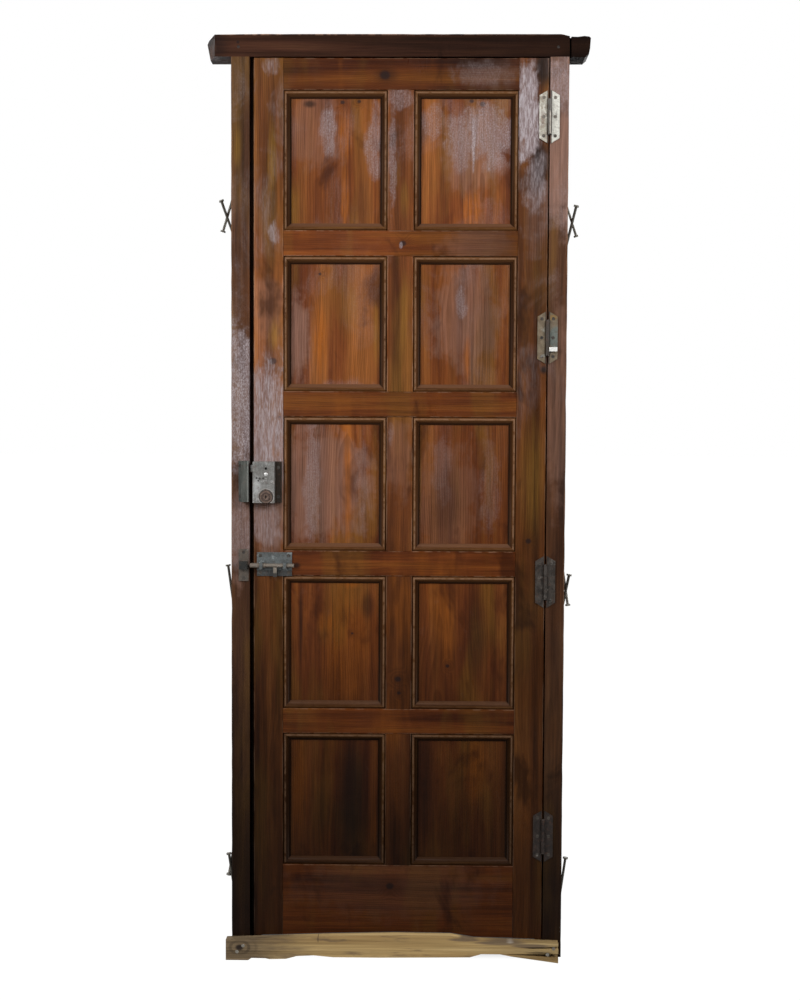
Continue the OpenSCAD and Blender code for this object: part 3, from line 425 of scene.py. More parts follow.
def add_piece(name, bm, body, slot, material, hidden_nodes=(), smooth_angle=20):
    """Makes a finished shape a piece that rides on a body, in place of the nodes that it hides."""
    mesh = bpy.data.meshes.new(name)
    bm.to_mesh(mesh)
    bm.free()
    mesh.shade_smooth()
    mesh.set_sharp_from_angle(angle=math.radians(smooth_angle))
    piece = bpy.data.objects.new(name, mesh)
    bpy.context.scene.collection.objects.link(piece)
    mesh.materials.append(material)
    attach(piece, body)
    if hidden_nodes:
        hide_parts(*hidden_nodes)
    return piece


def lay_grain(mesh, along, seed, shade=1.0, wear_of=None):
    """Each corner's place in its own board, with Z along the grain, and how light and how worn it is.

    along takes the middle of a face. shade is a number, or a function of the place.
    """
    rng = random.Random(seed)
    centre = sum((v.co for v in mesh.vertices), Vector()) / len(mesh.vertices)
    shift = Vector((rng.uniform(-0.07, 0.07), rng.uniform(0.015, 0.06), rng.uniform(0, 9)))
    mesh.attributes.new("grain", "FLOAT_VECTOR", "CORNER")
    for name in ("tone", "wear"):
        mesh.attributes.new(name, "FLOAT", "CORNER")
    grain, tone, wear = (mesh.attributes[name].data for name in ("grain", "tone", "wear"))
    for face in mesh.polygons:
        sideways = along(face.center) == "X"
        for corner in face.loop_indices:
            place = mesh.vertices[mesh.loops[corner].vertex_index].co
            x, y, z = place - centre
            if sideways:
                x, z = z, x
            grain[corner].vector = Vector((x, y, z)) + shift
            tone[corner].value = shade(place) if callable(shade) else shade
            wear[corner].value = wear_of(place, face.center) if wear_of else 0.0


def timber(node, material, along="Z", ease=0.0012, wander=0.0005, shade=1.0):
    """A worn copy of a wooden piece: its front and back arrises are eased, and wander a little."""
    bm = merged_copy(node)
    low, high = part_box(node)
    across = 0 if along == "Z" else 2
    near, far = low[across], high[across]
    for y, out in ((low.y, -1), (high.y, 1)):
        for edge_at, side in ((near, -1), (far, 1)):
            point = Vector((0, y - out * ease, 0))
            point[across] = edge_at
            normal = Vector((0, out, 0))
            normal[across] = side
            plane_off(bm, point, normal)
    # A line a little further in keeps the turn of the easing at the edge
    for edge_at, side in ((near, -1), (far, 1)):
        line = Vector((0, 0, 0))
        line[across] = edge_at - side * 2.2 * ease
        normal = Vector((0, 0, 0))
        normal[across] = side
        bmesh.ops.bisect_plane(bm, geom=bm.verts[:] + bm.edges[:] + bm.faces[:], dist=1e-6,
                               plane_co=line, plane_no=normal)
    cross_cuts(bm, 2 if along == "Z" else 0, ARRIS_STEP)
    for v in bm.verts:
        drift = max(0.0, noise.noise(v.co * 31.0) + 0.6 * noise.noise(v.co * 113.0))
        for edge_at, side in ((near, -1), (far, 1)):
            at_arris = min(abs(v.co.y - low.y), abs(v.co.y - high.y)) < ease * 1.05
            if at_arris and abs(v.co[across] - edge_at) < ease * 1.05:
                v.co[across] -= side * wander * drift
    piece = add_piece(f"{node}_worn", bm, BODY_OF[node], SLOT_OF[node], material, [node])

    def rubbed(point, face_middle):
        """1 on the two front arrises, 0 elsewhere."""
        sideways = min(abs(point[across] - near), abs(point[across] - far))
        at_front = max(point.y, face_middle.y) - low.y < ease * 1.4
        return 1.0 if at_front and sideways < ease * 1.4 else 0.0

    lay_grain(piece.data, lambda point: along, node, shade, rubbed)


def board(node, material, along="Z", shade=1.0):
    """A flat board kept as it is, with its grain laid on it."""
    bm = merged_copy(node)
    cross_cuts(bm, 2, BOARD_STEP)
    piece = add_piece(f"{node}_grained", bm, BODY_OF[node], SLOT_OF[node], material, [node])
    lay_grain(piece.data, lambda point: along, node, shade)


def moulding_row(row, material, shade):
    """The mouldings of one row, with the grain running along each strip."""
    node = f"mouldings_row_{row}"
    bm = merged_copy(node)
    openings = [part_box(f"panel_{row}_{side}") for side in COLUMNS]
    piece = add_piece(f"{node}_worn", bm, "leaf", SLOT_OF[node], material, [node], 40)

    def along(point):
        """The way a strip runs, by whether it is nearer to a side or to an end of its panel."""
        low, high = min(openings, key=lambda b: abs((b[0].x + b[1].x) / 2 - point.x))
        to_side = min(abs(point.x - low.x), abs(point.x - high.x))
        to_end = min(abs(point.z - low.z), abs(point.z - high.z))
        return "Z" if to_side < to_end else "X"

    def strip(point, face_middle):
        """1 on the strip at the top, 0 on the one at the foot, one half at the sides."""
        if along(face_middle) == "Z":
            return 0.5
        return 1.0 if face_middle.z > (openings[0][0].z + openings[0][1].z) / 2 else 0.0

    lay_grain(piece.data, along, node, shade, strip)


def crusted(node, material, crust=0.0017):
    """A copy of iron nails, thickened by old rust inside the CAD piece's own box."""
    bm = merged_copy(node)
    bm.normal_update()
    low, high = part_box(node)
    swollen = [v.co + v.normal * crust * (0.8 + 0.4 * noise.noise(v.co * 90.0)) for v in bm.verts]
    for v, place in zip(bm.verts, swollen):
        v.co = [min(max(place[i], low[i]), high[i]) for i in range(3)]
    add_piece(f"{node}_crusted", bm, BODY_OF[node], SLOT_OF[node], material, [node], 40)


def paint(node, material):
    """A CAD piece whose shape is right keeps its mesh and takes a finish."""
    NODES[node].data.materials.clear()
    NODES[node].data.materials.append(material)


# ------------------------------------------------------------------ the wood

lock_x = LEAF_LOW.x
hinge_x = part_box("hinge_stile")[0].x
top_z = LEAF_HIGH.z
mid_rail_2 = middle("rail_2")
panel_box = {(row, side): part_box(f"panel_{row}_{side}") for row in range(1, ROWS + 1) for side in COLUMNS}
panel_y = panel_box[1, "left"][0].y


def on_panel(row, side, share_x, share_z):
    """A place on a panel's face, by shares of its width and its height."""
    low, high = panel_box[row, side]
    return (low.x + (high.x - low.x) * share_x, panel_y, low.z + (high.z - low.z) * share_z)


stile_pine = varnished_pine(
    "stile_pine", (0.060, 0.019, 0.006), (0.158, 0.050, 0.013), (0.235, 0.087, 0.022), rings=0.35, amber=0.30,
    gold=0.30, glare=0.85, foot=0.17, fleck=(300, 300, 45),
    golden=[((lock_x + 0.042, FRONT, 1.86), (0.014, DEEP, 0.110), 0.8),
            ((lock_x + 0.046, FRONT, 1.45), (0.018, DEEP, 0.050), 0.7),
            ((hinge_x + 0.038, FRONT, 1.12), (0.045, DEEP, 0.200), 0.55)],
    knots=[((lock_x + 0.044, FRONT, 1.3915), 0.012), ((lock_x + 0.060, FRONT, 1.263), 0.004),
           ((hinge_x + 0.030, FRONT, 0.980), 0.009)],
    smudges=[((hinge_x + 0.062, FRONT, 1.374), (0.012, DEEP, 0.013), 0.9),
             ((hinge_x + 0.050, FRONT, 1.845), (0.036, DEEP, 0.075), 0.85),
             ((hinge_x + 0.056, FRONT, top_z - 0.022), (0.032, DEEP, 0.065), 0.90),
             ((hinge_x + 0.030, FRONT, 1.800), (0.055, DEEP, 0.045), 0.45)],
    # Painted sheen, an even rose-brown haze
    sheen_haze_spots=[((hinge_x + 0.045, FRONT, 1.72), (0.050, DEEP, 0.16), 0.35),
           ((lock_x + 0.040, FRONT, 1.09), (0.100, DEEP, 0.27), 0.85),
           ((lock_x + 0.030, FRONT, 1.51), (0.080, DEEP, 0.13), 0.25)],
    # Spots of painted glare
    glare_and_pale_spots=[((hinge_x + 0.018, FRONT, 1.955), (0.052, DEEP, 0.180), 1.5),
             ((hinge_x + 0.040, FRONT, 1.80), (0.050, DEEP, 0.11), 0.50),
             ((lock_x + 0.030, FRONT, 1.25), (0.100, DEEP, 0.25), 0.85),
             ((lock_x + 0.025, FRONT, 1.02), (0.070, DEEP, 0.09), 0.36),
             ((lock_x + 0.045, FRONT, 1.68), (0.026, DEEP, 0.05), 0.5),
             ((lock_x + 0.040, FRONT, 2.060), (0.030, DEEP, 0.035), 0.35)])
rail_pine = varnished_pine(
    "rail_pine", (0.066, 0.015, 0.004), (0.172, 0.044, 0.009), (0.255, 0.080, 0.013), rings=0.3, amber=0.4,
    glare=0.80, high_glare=0.02, gold=0.25, foot=0.17,
    knots=[((0.0085, FRONT, mid_rail_2.z), 0.010), ((-0.034, FRONT, 2.0405), 0.016),
           ((-0.015, FRONT, 0.1704), 0.012)],
    smudges=[((0.18, FRONT, top_z - 0.008), (0.12, DEEP, 0.025), 0.5),
             ((-0.030, FRONT, 2.040), (0.036, DEEP, 0.022), 0.45),
             ((-0.235, FRONT, 0.921), (0.014, DEEP, 0.010), 0.8)],
    # Spots of painted glare
    glare_and_pale_spots=[((0.004, FRONT, mid_rail_2.z - 0.004), (0.006, DEEP, 0.012), 0.8),
             ((0.190, FRONT, 2.045), (0.120, DEEP, 0.045), 0.15)],
    # Painted sheen, an even rose-brown haze
    sheen_haze_spots=[((0.200, FRONT, 2.045), (0.140, DEEP, 0.060), 0.45),
           ((0.180, FRONT, mid_rail_2.z), (0.140, DEEP, 0.10), 0.35),
           ((0.0, FRONT, 0.17), (0.400, DEEP, 0.14), 0.18)])
muntin_pine = varnished_pine(
    "muntin_pine", (0.058, 0.017, 0.005), (0.152, 0.045, 0.012), (0.225, 0.078, 0.021), rings=0.3,
    gold=0.3,
    knots=[((0.0015, FRONT, 0.6575), 0.010), ((0.004, FRONT, 0.625), 0.006)],
    # Spots of painted glare
    glare_and_pale_spots=[((-0.016, FRONT, 1.86), (0.016, DEEP, 0.20), 0.55),
             ((0.0, FRONT, 1.99), (0.045, DEEP, 0.045), 0.45),
             ((-0.018, FRONT, 1.23), (0.014, DEEP, 0.05), 0.3)],
    golden=[((0.012, FRONT, 1.76), (0.014, DEEP, 0.06), 0.6),
            ((0.012, FRONT, 1.50), (0.012, DEEP, 0.14), 0.3)],
    # Painted sheen, an even rose-brown haze
    sheen_haze_spots=[((0.0, FRONT, 1.17), (0.060, DEEP, 0.16), 0.25)])
panel_pine = varnished_pine(
    "panel_pine", (0.090, 0.022, 0.007), (0.178, 0.049, 0.012), (0.262, 0.087, 0.020), rings=0.38, gloss=0.27,
    gold=0.4, amber=0.45,
    golden=[(on_panel(3, "right", 0.07, 0.60), (0.015, DEEP, 0.200), 0.9),
            (on_panel(2, "left", 0.88, 0.50), (0.016, DEEP, 0.160), 0.5),
            (on_panel(1, "left", 0.12, 0.20), (0.030, DEEP, 0.090), 0.5)],
    knots=[((-0.131, panel_y, 1.982), 0.007), ((-0.093, panel_y, 1.984), 0.006),
           ((0.164, panel_y, 1.985), 0.007), ((0.189, panel_y, 1.978), 0.009),
           ((-0.182, panel_y, 1.592), 0.005), (on_panel(4, "right", 0.36, 0.33), 0.006),
           (on_panel(4, "left", 0.66, 0.56), 0.004)],
    smudges=[((-0.206, panel_y, 1.978), (0.020, DEEP, 0.012), 0.75),
             (on_panel(1, "right", 0.12, 0.72), (0.016, DEEP, 0.05), 0.35),
             ((-0.085, panel_y, 1.750), (0.030, DEEP, 0.100), 0.25),
             (on_panel(2, "right", 0.71, 0.50), (0.030, DEEP, 0.200), 0.35),
             (on_panel(3, "right", 0.34, 0.36), (0.050, DEEP, 0.130), 0.34),
             (on_panel(4, "left", 0.19, 0.65), (0.006, DEEP, 0.130), 0.6),
             (on_panel(4, "left", 0.80, 0.76), (0.022, DEEP, 0.045), 0.5),
             (on_panel(4, "right", 0.62, 0.55), (0.034, DEEP, 0.180), 0.5),
             (on_panel(5, "left", 0.66, 0.50), (0.050, DEEP, 0.240), 0.75),
             (on_panel(5, "right", 0.14, 0.60), (0.045, DEEP, 0.200), 0.45),
             (on_panel(5, "right", 0.95, 0.50), (0.035, DEEP, 0.250), 0.45)],
    flames=[((-0.125, panel_y, 1.905), (0.022, DEEP, 0.075), 0.9),
            ((-0.125, panel_y, 1.760), (0.015, DEEP, 0.100), 0.8),
            ((0.165, panel_y, 1.735), (0.030, DEEP, 0.060), 0.9),
            ((-0.182, panel_y, 1.440), (0.022, DEEP, 0.110), 0.9),
            (on_panel(2, "right", 0.93, 0.50), (0.018, DEEP, 0.260), 0.9),
            (on_panel(2, "right", 0.53, 0.25), (0.014, DEEP, 0.070), 0.7),
            (on_panel(2, "right", 0.48, 0.93), (0.012, DEEP, 0.018), 0.9),
            (on_panel(3, "left", 0.61, 0.50), (0.014, DEEP, 0.230), 0.65),
            (on_panel(4, "left", 0.60, 0.50), (0.080, DEEP, 0.200), 0.45),
            (on_panel(4, "left", 0.42, 0.64), (0.026, DEEP, 0.030), 0.8),
            (on_panel(4, "left", 0.64, 0.94), (0.036, DEEP, 0.024), 0.8),
            (on_panel(4, "right", 0.35, 0.60), (0.030, DEEP, 0.120), 0.5),
            (on_panel(5, "left", 0.18, 0.60), (0.026, DEEP, 0.190), 0.6),
            (on_panel(5, "left", 0.86, 0.25), (0.010, DEEP, 0.120), 0.6),
            (on_panel(5, "right", 0.62, 0.72), (0.038, DEEP, 0.120), 0.6)],
    # Spots of painted glare
    glare_and_pale_spots=[((-0.058, panel_y, 1.895), (0.034, DEEP, 0.145), 0.62),
             ((-0.163, panel_y, 1.915), (0.036, DEEP, 0.085), 0.75),
             ((0.200, panel_y, 1.910), (0.115, DEEP, 0.125), 0.85),
             ((0.140, panel_y, 1.900), (0.060, DEEP, 0.110), 0.65),
             ((0.169, panel_y, 1.890), (0.008, DEEP, 0.110), 1.5),
             ((0.075, panel_y, 1.940), (0.045, DEEP, 0.070), 0.45),
             (on_panel(2, "left", 0.62, 0.05), (0.100, DEEP, 0.040), 0.3),
             (on_panel(2, "right", 0.47, 0.66), (0.022, DEEP, 0.060), 0.5),
             (on_panel(3, "left", 0.29, 0.50), (0.034, DEEP, 0.230), 0.42),
             (on_panel(3, "left", 0.74, 0.55), (0.026, DEEP, 0.200), 0.16),
             (on_panel(3, "right", 0.74, 0.50), (0.040, DEEP, 0.200), 0.16),
             (on_panel(3, "right", 0.30, 0.60), (0.040, DEEP, 0.140), 0.14)],
    # Painted sheen, an even rose-brown haze
    sheen_haze_spots=[((0.170, panel_y, 1.860), (0.120, DEEP, 0.170), 0.40),
           (on_panel(1, "left", 0.30, 0.70), (0.120, DEEP, 0.160), 0.35),
           (on_panel(2, "left", 0.14, 0.42), (0.060, DEEP, 0.170), 0.60),
           (on_panel(2, "right", 0.50, 0.55), (0.130, DEEP, 0.230), 0.50),
           (on_panel(3, "left", 0.35, 0.50), (0.220, DEEP, 0.250), 0.60),
           (on_panel(3, "right", 0.35, 0.40), (0.140, DEEP, 0.230), 0.30)])
frame_pine = varnished_pine(
    "frame_pine", (0.036, 0.014, 0.007), (0.095, 0.038, 0.017), (0.160, 0.070, 0.028), rings=0.25, gloss=0.36,
    gold=0.35, amber=0.15, glare=0.85,
    golden=[((JAMB["lock"][0].x + 0.016, FRONT, 1.875), (0.012, DEEP, 0.060), 0.75)],
    # Spots of painted glare
    glare_and_pale_spots=[((JAMB["lock"][0].x + 0.02, FRONT, 1.30), (0.070, DEEP, 0.27), 0.85),
             ((JAMB["lock"][0].x + 0.02, FRONT, 0.99), (0.070, DEEP, 0.14), 0.30),
             ((JAMB["hinge"][1].x - 0.02, FRONT, 2.02), (0.060, DEEP, 0.10), 0.45),
             ((JAMB["lock"][1].x - 0.006, FRONT, 2.060), (0.005, DEEP, 0.010), 1.5)],
    # Painted sheen, an even rose-brown haze
    sheen_haze_spots=[((JAMB["hinge"][1].x - 0.02, FRONT, 1.90), (0.150, DEEP, 0.34), 0.9),
           ((JAMB["hinge"][1].x - 0.02, FRONT, 1.30), (0.060, DEEP, 0.40), 0.35),
           ((JAMB["lock"][0].x + 0.02, FRONT, 0.99), (0.070, DEEP, 0.20), 0.75)])
head_pine = varnished_pine(
    "head_pine", (0.015, 0.007, 0.004), (0.036, 0.014, 0.008), (0.068, 0.028, 0.014), rings=0.2, gloss=0.46,
    gold=0.0, amber=0.0, glare=0.9, high_glare=0.0, foot=1.0, specular=0.04,
    smudges=[((-0.369, FRONT, 2.1145), (0.005, DEEP, 0.005), 1.0),
             ((HEAD_LOW.x + 0.020, FRONT, 2.112), (0.052, 0.09, 0.06), 0.50)],
    # Painted sheen, an even rose-brown haze
    sheen_haze_spots=[((HEAD_LOW.x + 0.005, FRONT, 2.10), (0.040, 0.09, 0.05), 0.25)],
    # A pale strip under the head, laid with the glare speckles
    glare_and_pale_spots=[(((HEAD_LOW.x + JAMB["lock"][0].x) / 2, 0.0, HEAD_STOP_Z - 0.006), (0.060, 0.09, 0.009), 1.5)])
moulding_pine = bead_pine("moulding_pine")


def slope(index, *stops):
    """A shade that changes along an axis, by (place, shade) stops in order."""
    def shade(point):
        at = point[index]
        for (start, first), (end, last) in zip(stops, stops[1:]):
            if at <= end:
                return first + (last - first) * max(0.0, at - start) / (end - start)
        return stops[-1][1]
    return shade


# How light each board is beside its neighbours, from the top row down
MUNTIN_SHADES = (1.0, 1.15, 1.05, 0.95, 1.2)
RAIL_SHADES = (slope(0, (0.02, 0.58), (0.10, 0.44)),
               slope(0, (-0.25, 1.12), (-0.02, 1.0), (0.04, 0.68), (0.25, 0.46)),
               0.72, 1.05, 1.40, 1.95)
PANEL_SHADES = {"left": (0.92, 1.05, 1.08, 1.10, 1.06), "right": (1.10, 0.90, 0.85, 1.0, 1.06)}
MOULDING_SHADES = (0.80, 0.86, 0.95, 1.0, 1.1)
LOCK_STILE_SHADE = slope(2, (0.5, 0.95), (0.85, 0.94), (1.0, 1.0), (1.3, 1.28), (1.55, 1.5), (1.75, 1.0),
                         (1.95, 0.80))
HINGE_STILE_SHADE = slope(2, (0.35, 1.32), (0.70, 0.60), (1.15, 0.78), (1.6, 0.58), (1.8, 0.64),
                          (1.95, 0.82))
LOCK_JAMB_SHADE = slope(2, (0.9, 0.95), (1.3, 1.0), (1.8, 0.86))
HINGE_JAMB_SHADE = slope(2, (0.3, 1.28), (0.9, 1.0))
HEAD_SHADE = slope(0, (-0.41, 1.15), (-0.38, 1.62), (-0.20, 1.28), (0.02, 0.98), (0.20, 0.58), (0.375, 0.42),
                   (0.395, 0.28))
BATTEN_SHADE = slope(0, (-0.38, 1.05), (-0.15, 1.0), (0.0, 1.1), (0.15, 1.08), (0.30, 0.74))

# The frame's arrises are rounder than the leaf's
FRAME_WEAR = {"ease": 0.0016, "wander": 0.0012}

rail_nodes = ["top_rail"] + [f"rail_{i}" for i in range(2, ROWS + 1)] + ["bottom_rail"]
timber("lock_stile", stile_pine, shade=LOCK_STILE_SHADE)
timber("hinge_stile", stile_pine, shade=HINGE_STILE_SHADE)
for node, shade in zip(rail_nodes, RAIL_SHADES):
    timber(node, rail_pine, "X", shade=shade)
for row in range(1, ROWS + 1):
    timber(f"muntin_{row}", muntin_pine, shade=MUNTIN_SHADES[row - 1])
    moulding_row(row, moulding_pine, MOULDING_SHADES[row - 1])
    for side in COLUMNS:
        board(f"panel_{row}_{side}", panel_pine, shade=PANEL_SHADES[side][row - 1])
timber("jamb_lock_side", frame_pine, shade=LOCK_JAMB_SHADE, **FRAME_WEAR)
timber("jamb_hinge_side", frame_pine, shade=HINGE_JAMB_SHADE, **FRAME_WEAR)
timber("head", head_pine, "X", shade=HEAD_SHADE, **FRAME_WEAR)
board("base_batten", raw_pine("raw_pine"), "X", BATTEN_SHADE)

# ------------------------------------------------------------------ the iron

nail_iron = old_metal("nail_iron", (0.180, 0.165, 0.140), (0.260, 0.240, 0.200), (0.46, 0.43, 0.38),
                      wear_share=0.3, metallic=0.0, rust=0.35)
screw_iron = old_metal("screw_iron", (0.050, 0.044, 0.038), (0.085, 0.070, 0.058), (0.24, 0.22, 0.20),
                       wear_share=0.3, metallic=0.4, rust=0.3,
                       zones=[(beyond(2, 1.90, 1.91), (0.26, 0.23, 0.19), 0.6)])

pins = middle("hinge_pins")
upper_low, upper_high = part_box("hinge_1_leaf_plate")
upper_z = (upper_low.z + upper_high.z) / 2
second_low, second_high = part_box("hinge_2_jamb_plate")
second_z = middle("hinge_2_jamb_plate").z
OCHRE = (0.230, 0.135, 0.040)


def at_knuckle(f):
    """The knuckle and the joint between the two plates."""
    return f.math("MULTIPLY", f.span(f.axis(0), pins.x - 0.0060, pins.x - 0.0050),
                  f.span(f.axis(0), pins.x + 0.0060, pins.x + 0.0050))


def knuckle_glint(f):
    """A thin bright line down the front of a knuckle: a painted highlight on the pin."""
    line = f.math("MULTIPLY", f.span(f.axis(0), pins.x - 0.0004, pins.x + 0.0002),
                  f.span(f.axis(0), pins.x + 0.0024, pins.x + 0.0018))
    return f.math("MULTIPLY", line, f.span(f.axis(2), upper_z + 0.016, upper_z + 0.006))


def on_plate(x, z, wide, high, soft, y=FRONT):
    """A patch on the front of a fitting."""
    return ellipsoid((x, y, z), (wide, DEEP, high), soft)


# Painted shade over the knuckle and in the gaps beside it
knuckle_shade = (at_knuckle, (0.030, 0.022, 0.018), 0.88)
hinge_metals = [
    old_metal("hinge_1_steel", (0.50, 0.47, 0.39), (0.34, 0.29, 0.23), (0.72, 0.70, 0.63),
              wear_share=0.5, metallic=0.15, rust=0.45, roughness=0.40,
              zones=[(beyond(0, pins.x, pins.x + 0.002), (0.72, 0.71, 0.64), 0.7),
                     (on_plate(pins.x + 0.015, upper_z, 0.0035, 0.016, 0.2), (0.28, 0.28, 0.25), 0.7),
                     (on_plate(pins.x - 0.015, upper_z - 0.004, 0.009, 0.030, 0.1),
                      (0.22, 0.155, 0.120), 0.75),
                     knuckle_shade,
                     (knuckle_glint, (0.50, 0.45, 0.38), 0.8)]),
    old_metal("hinge_2_paint", (0.150, 0.112, 0.070), (0.200, 0.155, 0.100), (0.27, 0.26, 0.22),
              wear_share=0.25, metallic=0.2, rust=0.45, roughness=0.45,
              zones=[(on_plate(second_high.x, second_z, 0.026, 0.030, 0.7), (0.125, 0.150, 0.135), 0.85),
                     (on_plate(second_high.x - 0.012, second_high.z - 0.014, 0.014, 0.008, 0.5), OCHRE, 0.9),
                     (on_plate(second_low.x - 0.026, second_high.z - 0.012, 0.012, 0.014, 0.5), OCHRE, 0.8),
                     (on_plate(second_low.x - 0.026, second_low.z + 0.012, 0.012, 0.014, 0.5), OCHRE, 0.8),
                     knuckle_shade]),
    old_metal("hinge_3_iron", (0.030, 0.024, 0.020), (0.055, 0.044, 0.036), (0.15, 0.13, 0.11),
              wear_share=0.25, metallic=0.2, rust=0.4),
    old_metal("hinge_4_paint", (0.013, 0.008, 0.006), (0.024, 0.014, 0.010), (0.06, 0.045, 0.035),
              wear_share=0.15, metallic=0.1, rust=0.3, roughness=0.55),
]

case_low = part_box("lock_case")[0]
bush = middle("key_barrel")
rivet = Vector((bush.x, case_low.y, 1.1318))
flank_x = case_low.x + 0.050


def from_bush(f):
    """Distance from the key bush's own line, which runs through the door."""
    return f.reach(tuple(bush), (1, 1e6, 1))


def bush_ring(f, radius, width):
    """A ring round the key bush."""
    off = f.math("ABSOLUTE", f.math("SUBTRACT", from_bush(f), radius))
    return f.span(off, width, width * 0.3)


# Worn and dirty places on the case, its dark flank, four rust pits by the rivet, and round the bush
# a dark ring of painted shade and a bright ring of painted highlight on the rim of its hole
lock_steel = old_metal(
    "lock_steel", (0.270, 0.265, 0.250), (0.180, 0.172, 0.158), (0.46, 0.455, 0.44),
    wear_share=0.4, metallic=0.45, rust=0.45, roughness=0.40,
    zones=[(on_plate(rivet.x - 0.022, 1.105, 0.014, 0.030, 0.2, rivet.y), (0.50, 0.50, 0.49), 0.8),
           (on_plate(rivet.x - 0.012, 1.150, 0.022, 0.012, 0.3, rivet.y), (0.15, 0.145, 0.135), 0.6),
           (beyond(0, flank_x - 0.0005, flank_x + 0.001), (0.026, 0.016, 0.009), 1.0)]
    + [(on_plate(rivet.x - dx, rivet.z - dz, r, r, 0.6, rivet.y), (0.045, 0.040, 0.036), 0.9)
       for dx, dz, r in ((0.0215, 0.0087, 0.0030), (0.0145, 0.0100, 0.0034), (0.0060, 0.0092, 0.0030),
                         (0.0172, 0.0147, 0.0028))]
    # Painted shade in the gap round the bush, and a painted highlight on the rim
    + [(lambda f: bush_ring(f, 0.0158, 0.0016), (0.050, 0.036, 0.028), 0.85),
       (lambda f: bush_ring(f, 0.0180, 0.0014), (0.44, 0.40, 0.37), 0.7)])
keeper_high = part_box("lock_keeper")[1]
keeper_iron = old_metal(
    "keeper_iron", (0.060, 0.065, 0.056), (0.095, 0.098, 0.086), (0.20, 0.21, 0.19),
    wear_share=0.2, metallic=0.25, rust=0.25, streak=(3.0, 3.0, 0.35),
    zones=[(beyond(0, keeper_high.x - 0.004, keeper_high.x - 0.001), (0.23, 0.235, 0.215), 0.8)])
inner_steel = plain("inner_steel", (0.32, 0.31, 0.29), 0.4, 0.8)


def ringed_iron(name):
    """The rusty key bush, with turned rings."""
    f = Finish(name)
    clouds = f.speckle(f.coordinates, 160.0, 4.0)
    color = f.ramp(clouds, [(0.35, (0.090, 0.055, 0.040)), (0.65, (0.175, 0.115, 0.085))])
    rings = f.span(f.math("SINE", f.times(from_bush(f), 900.0)), -0.6, 0.6)
    color = f.blend(f.times(rings, 0.75), color, (0.050, 0.030, 0.023))
    return f.surface(color, 0.6, f.bump(rings, 0.0005, f.bump(clouds, 0.0004)), metallic=0.25)


bush_iron = ringed_iron("bush_iron")
rod_z = middle("bolt_rod").z
bolt_paint = old_metal(
    "bolt_paint", (0.135, 0.150, 0.150), (0.085, 0.090, 0.088), (0.30, 0.33, 0.33),
    wear_share=0.35, metallic=0.3, rust=0.35,
    # The plate below the rod is darkened: a painted shadow of the rod
    zones=[(beyond(2, rod_z + 0.002, rod_z - 0.003), (0.042, 0.040, 0.038), 0.85)])
staple_iron = old_metal("staple_iron", (0.022, 0.022, 0.020), (0.04, 0.038, 0.034), (0.10, 0.095, 0.085),
                        wear_share=0.2, metallic=0.4, rust=0.3)
rod_steel = old_metal(
    "rod_steel", (0.240, 0.205, 0.165), (0.175, 0.145, 0.120), (0.42, 0.38, 0.33),
    wear_share=0.35, metallic=0.3, rust=0.35,
    # What hangs below the rod is darkened: painted shade under the rod
    zones=[(beyond(2, rod_z - 0.0055, rod_z - 0.0085), (0.034, 0.032, 0.030), 0.92)])
bolt_keeper_iron = old_metal(
    "bolt_keeper_iron", (0.115, 0.088, 0.068), (0.080, 0.068, 0.056), (0.19, 0.17, 0.15),
    wear_share=0.3, metallic=0.2, rust=0.4)
pin_steel = old_metal("pin_steel", (0.060, 0.048, 0.042), (0.090, 0.075, 0.066), (0.30, 0.27, 0.24),
                      wear_share=0.3, metallic=0.3, rust=0.3)

for i, finish in enumerate(hinge_metals, 1):
    paint(f"hinge_{i}_jamb_plate", finish)
    paint(f"hinge_{i}_leaf_plate", finish)
paint("lock_case", lock_steel)
paint("lock_keeper", keeper_iron)
paint("bolt_keeper_plate", bolt_keeper_iron)
paint("bolt_staple", staple_iron)
paint("bolt_plate", bolt_paint)
paint("lock_tongue", lock_steel)
paint("bolt_rod", rod_steel)
paint("key_barrel", bush_iron)
paint("back_escutcheon", bush_iron)
paint("batten_nails", nail_iron)
for node in ("fixing_nails_left", "fixing_nails_right"):
    crusted(node, nail_iron)
for node in ("keeper_screws", "jamb_hinge_screws", "leaf_hinge_screws", "leaf_fitting_screws"):
    paint(node, screw_iron)
paint("hinge_pins", pin_steel)
paint("lock_back_plate", inner_steel)
paint("lock_spring", inner_steel)
paint("frame_pegs", plain("peg_wood", (0.02, 0.012, 0.008), 0.7))


def rivet_head(name, at, radius, rise, material):
    """A hammered rivet head standing on the lock case."""
    bm = bmesh.new()
    bmesh.ops.create_uvsphere(bm, u_segments=20, v_segments=10, radius=radius)
    plane_off(bm, Vector((0, 0, 0)), Vector((0, 1, 0)))
    bmesh.ops.scale(bm, vec=(1, rise / radius, 1), verts=bm.verts)
    bmesh.ops.translate(bm, vec=at, verts=bm.verts)
    bmesh.ops.recalc_face_normals(bm, faces=bm.faces)
    add_piece(name, bm, "leaf", SLOT_OF["lock_case"], material, smooth_angle=50)


rivet_head("lock_rivet_head", rivet, radius=0.0045, rise=0.0018,
           material=plain("rivet_steel", (0.72, 0.71, 0.69), 0.35, 0.4))


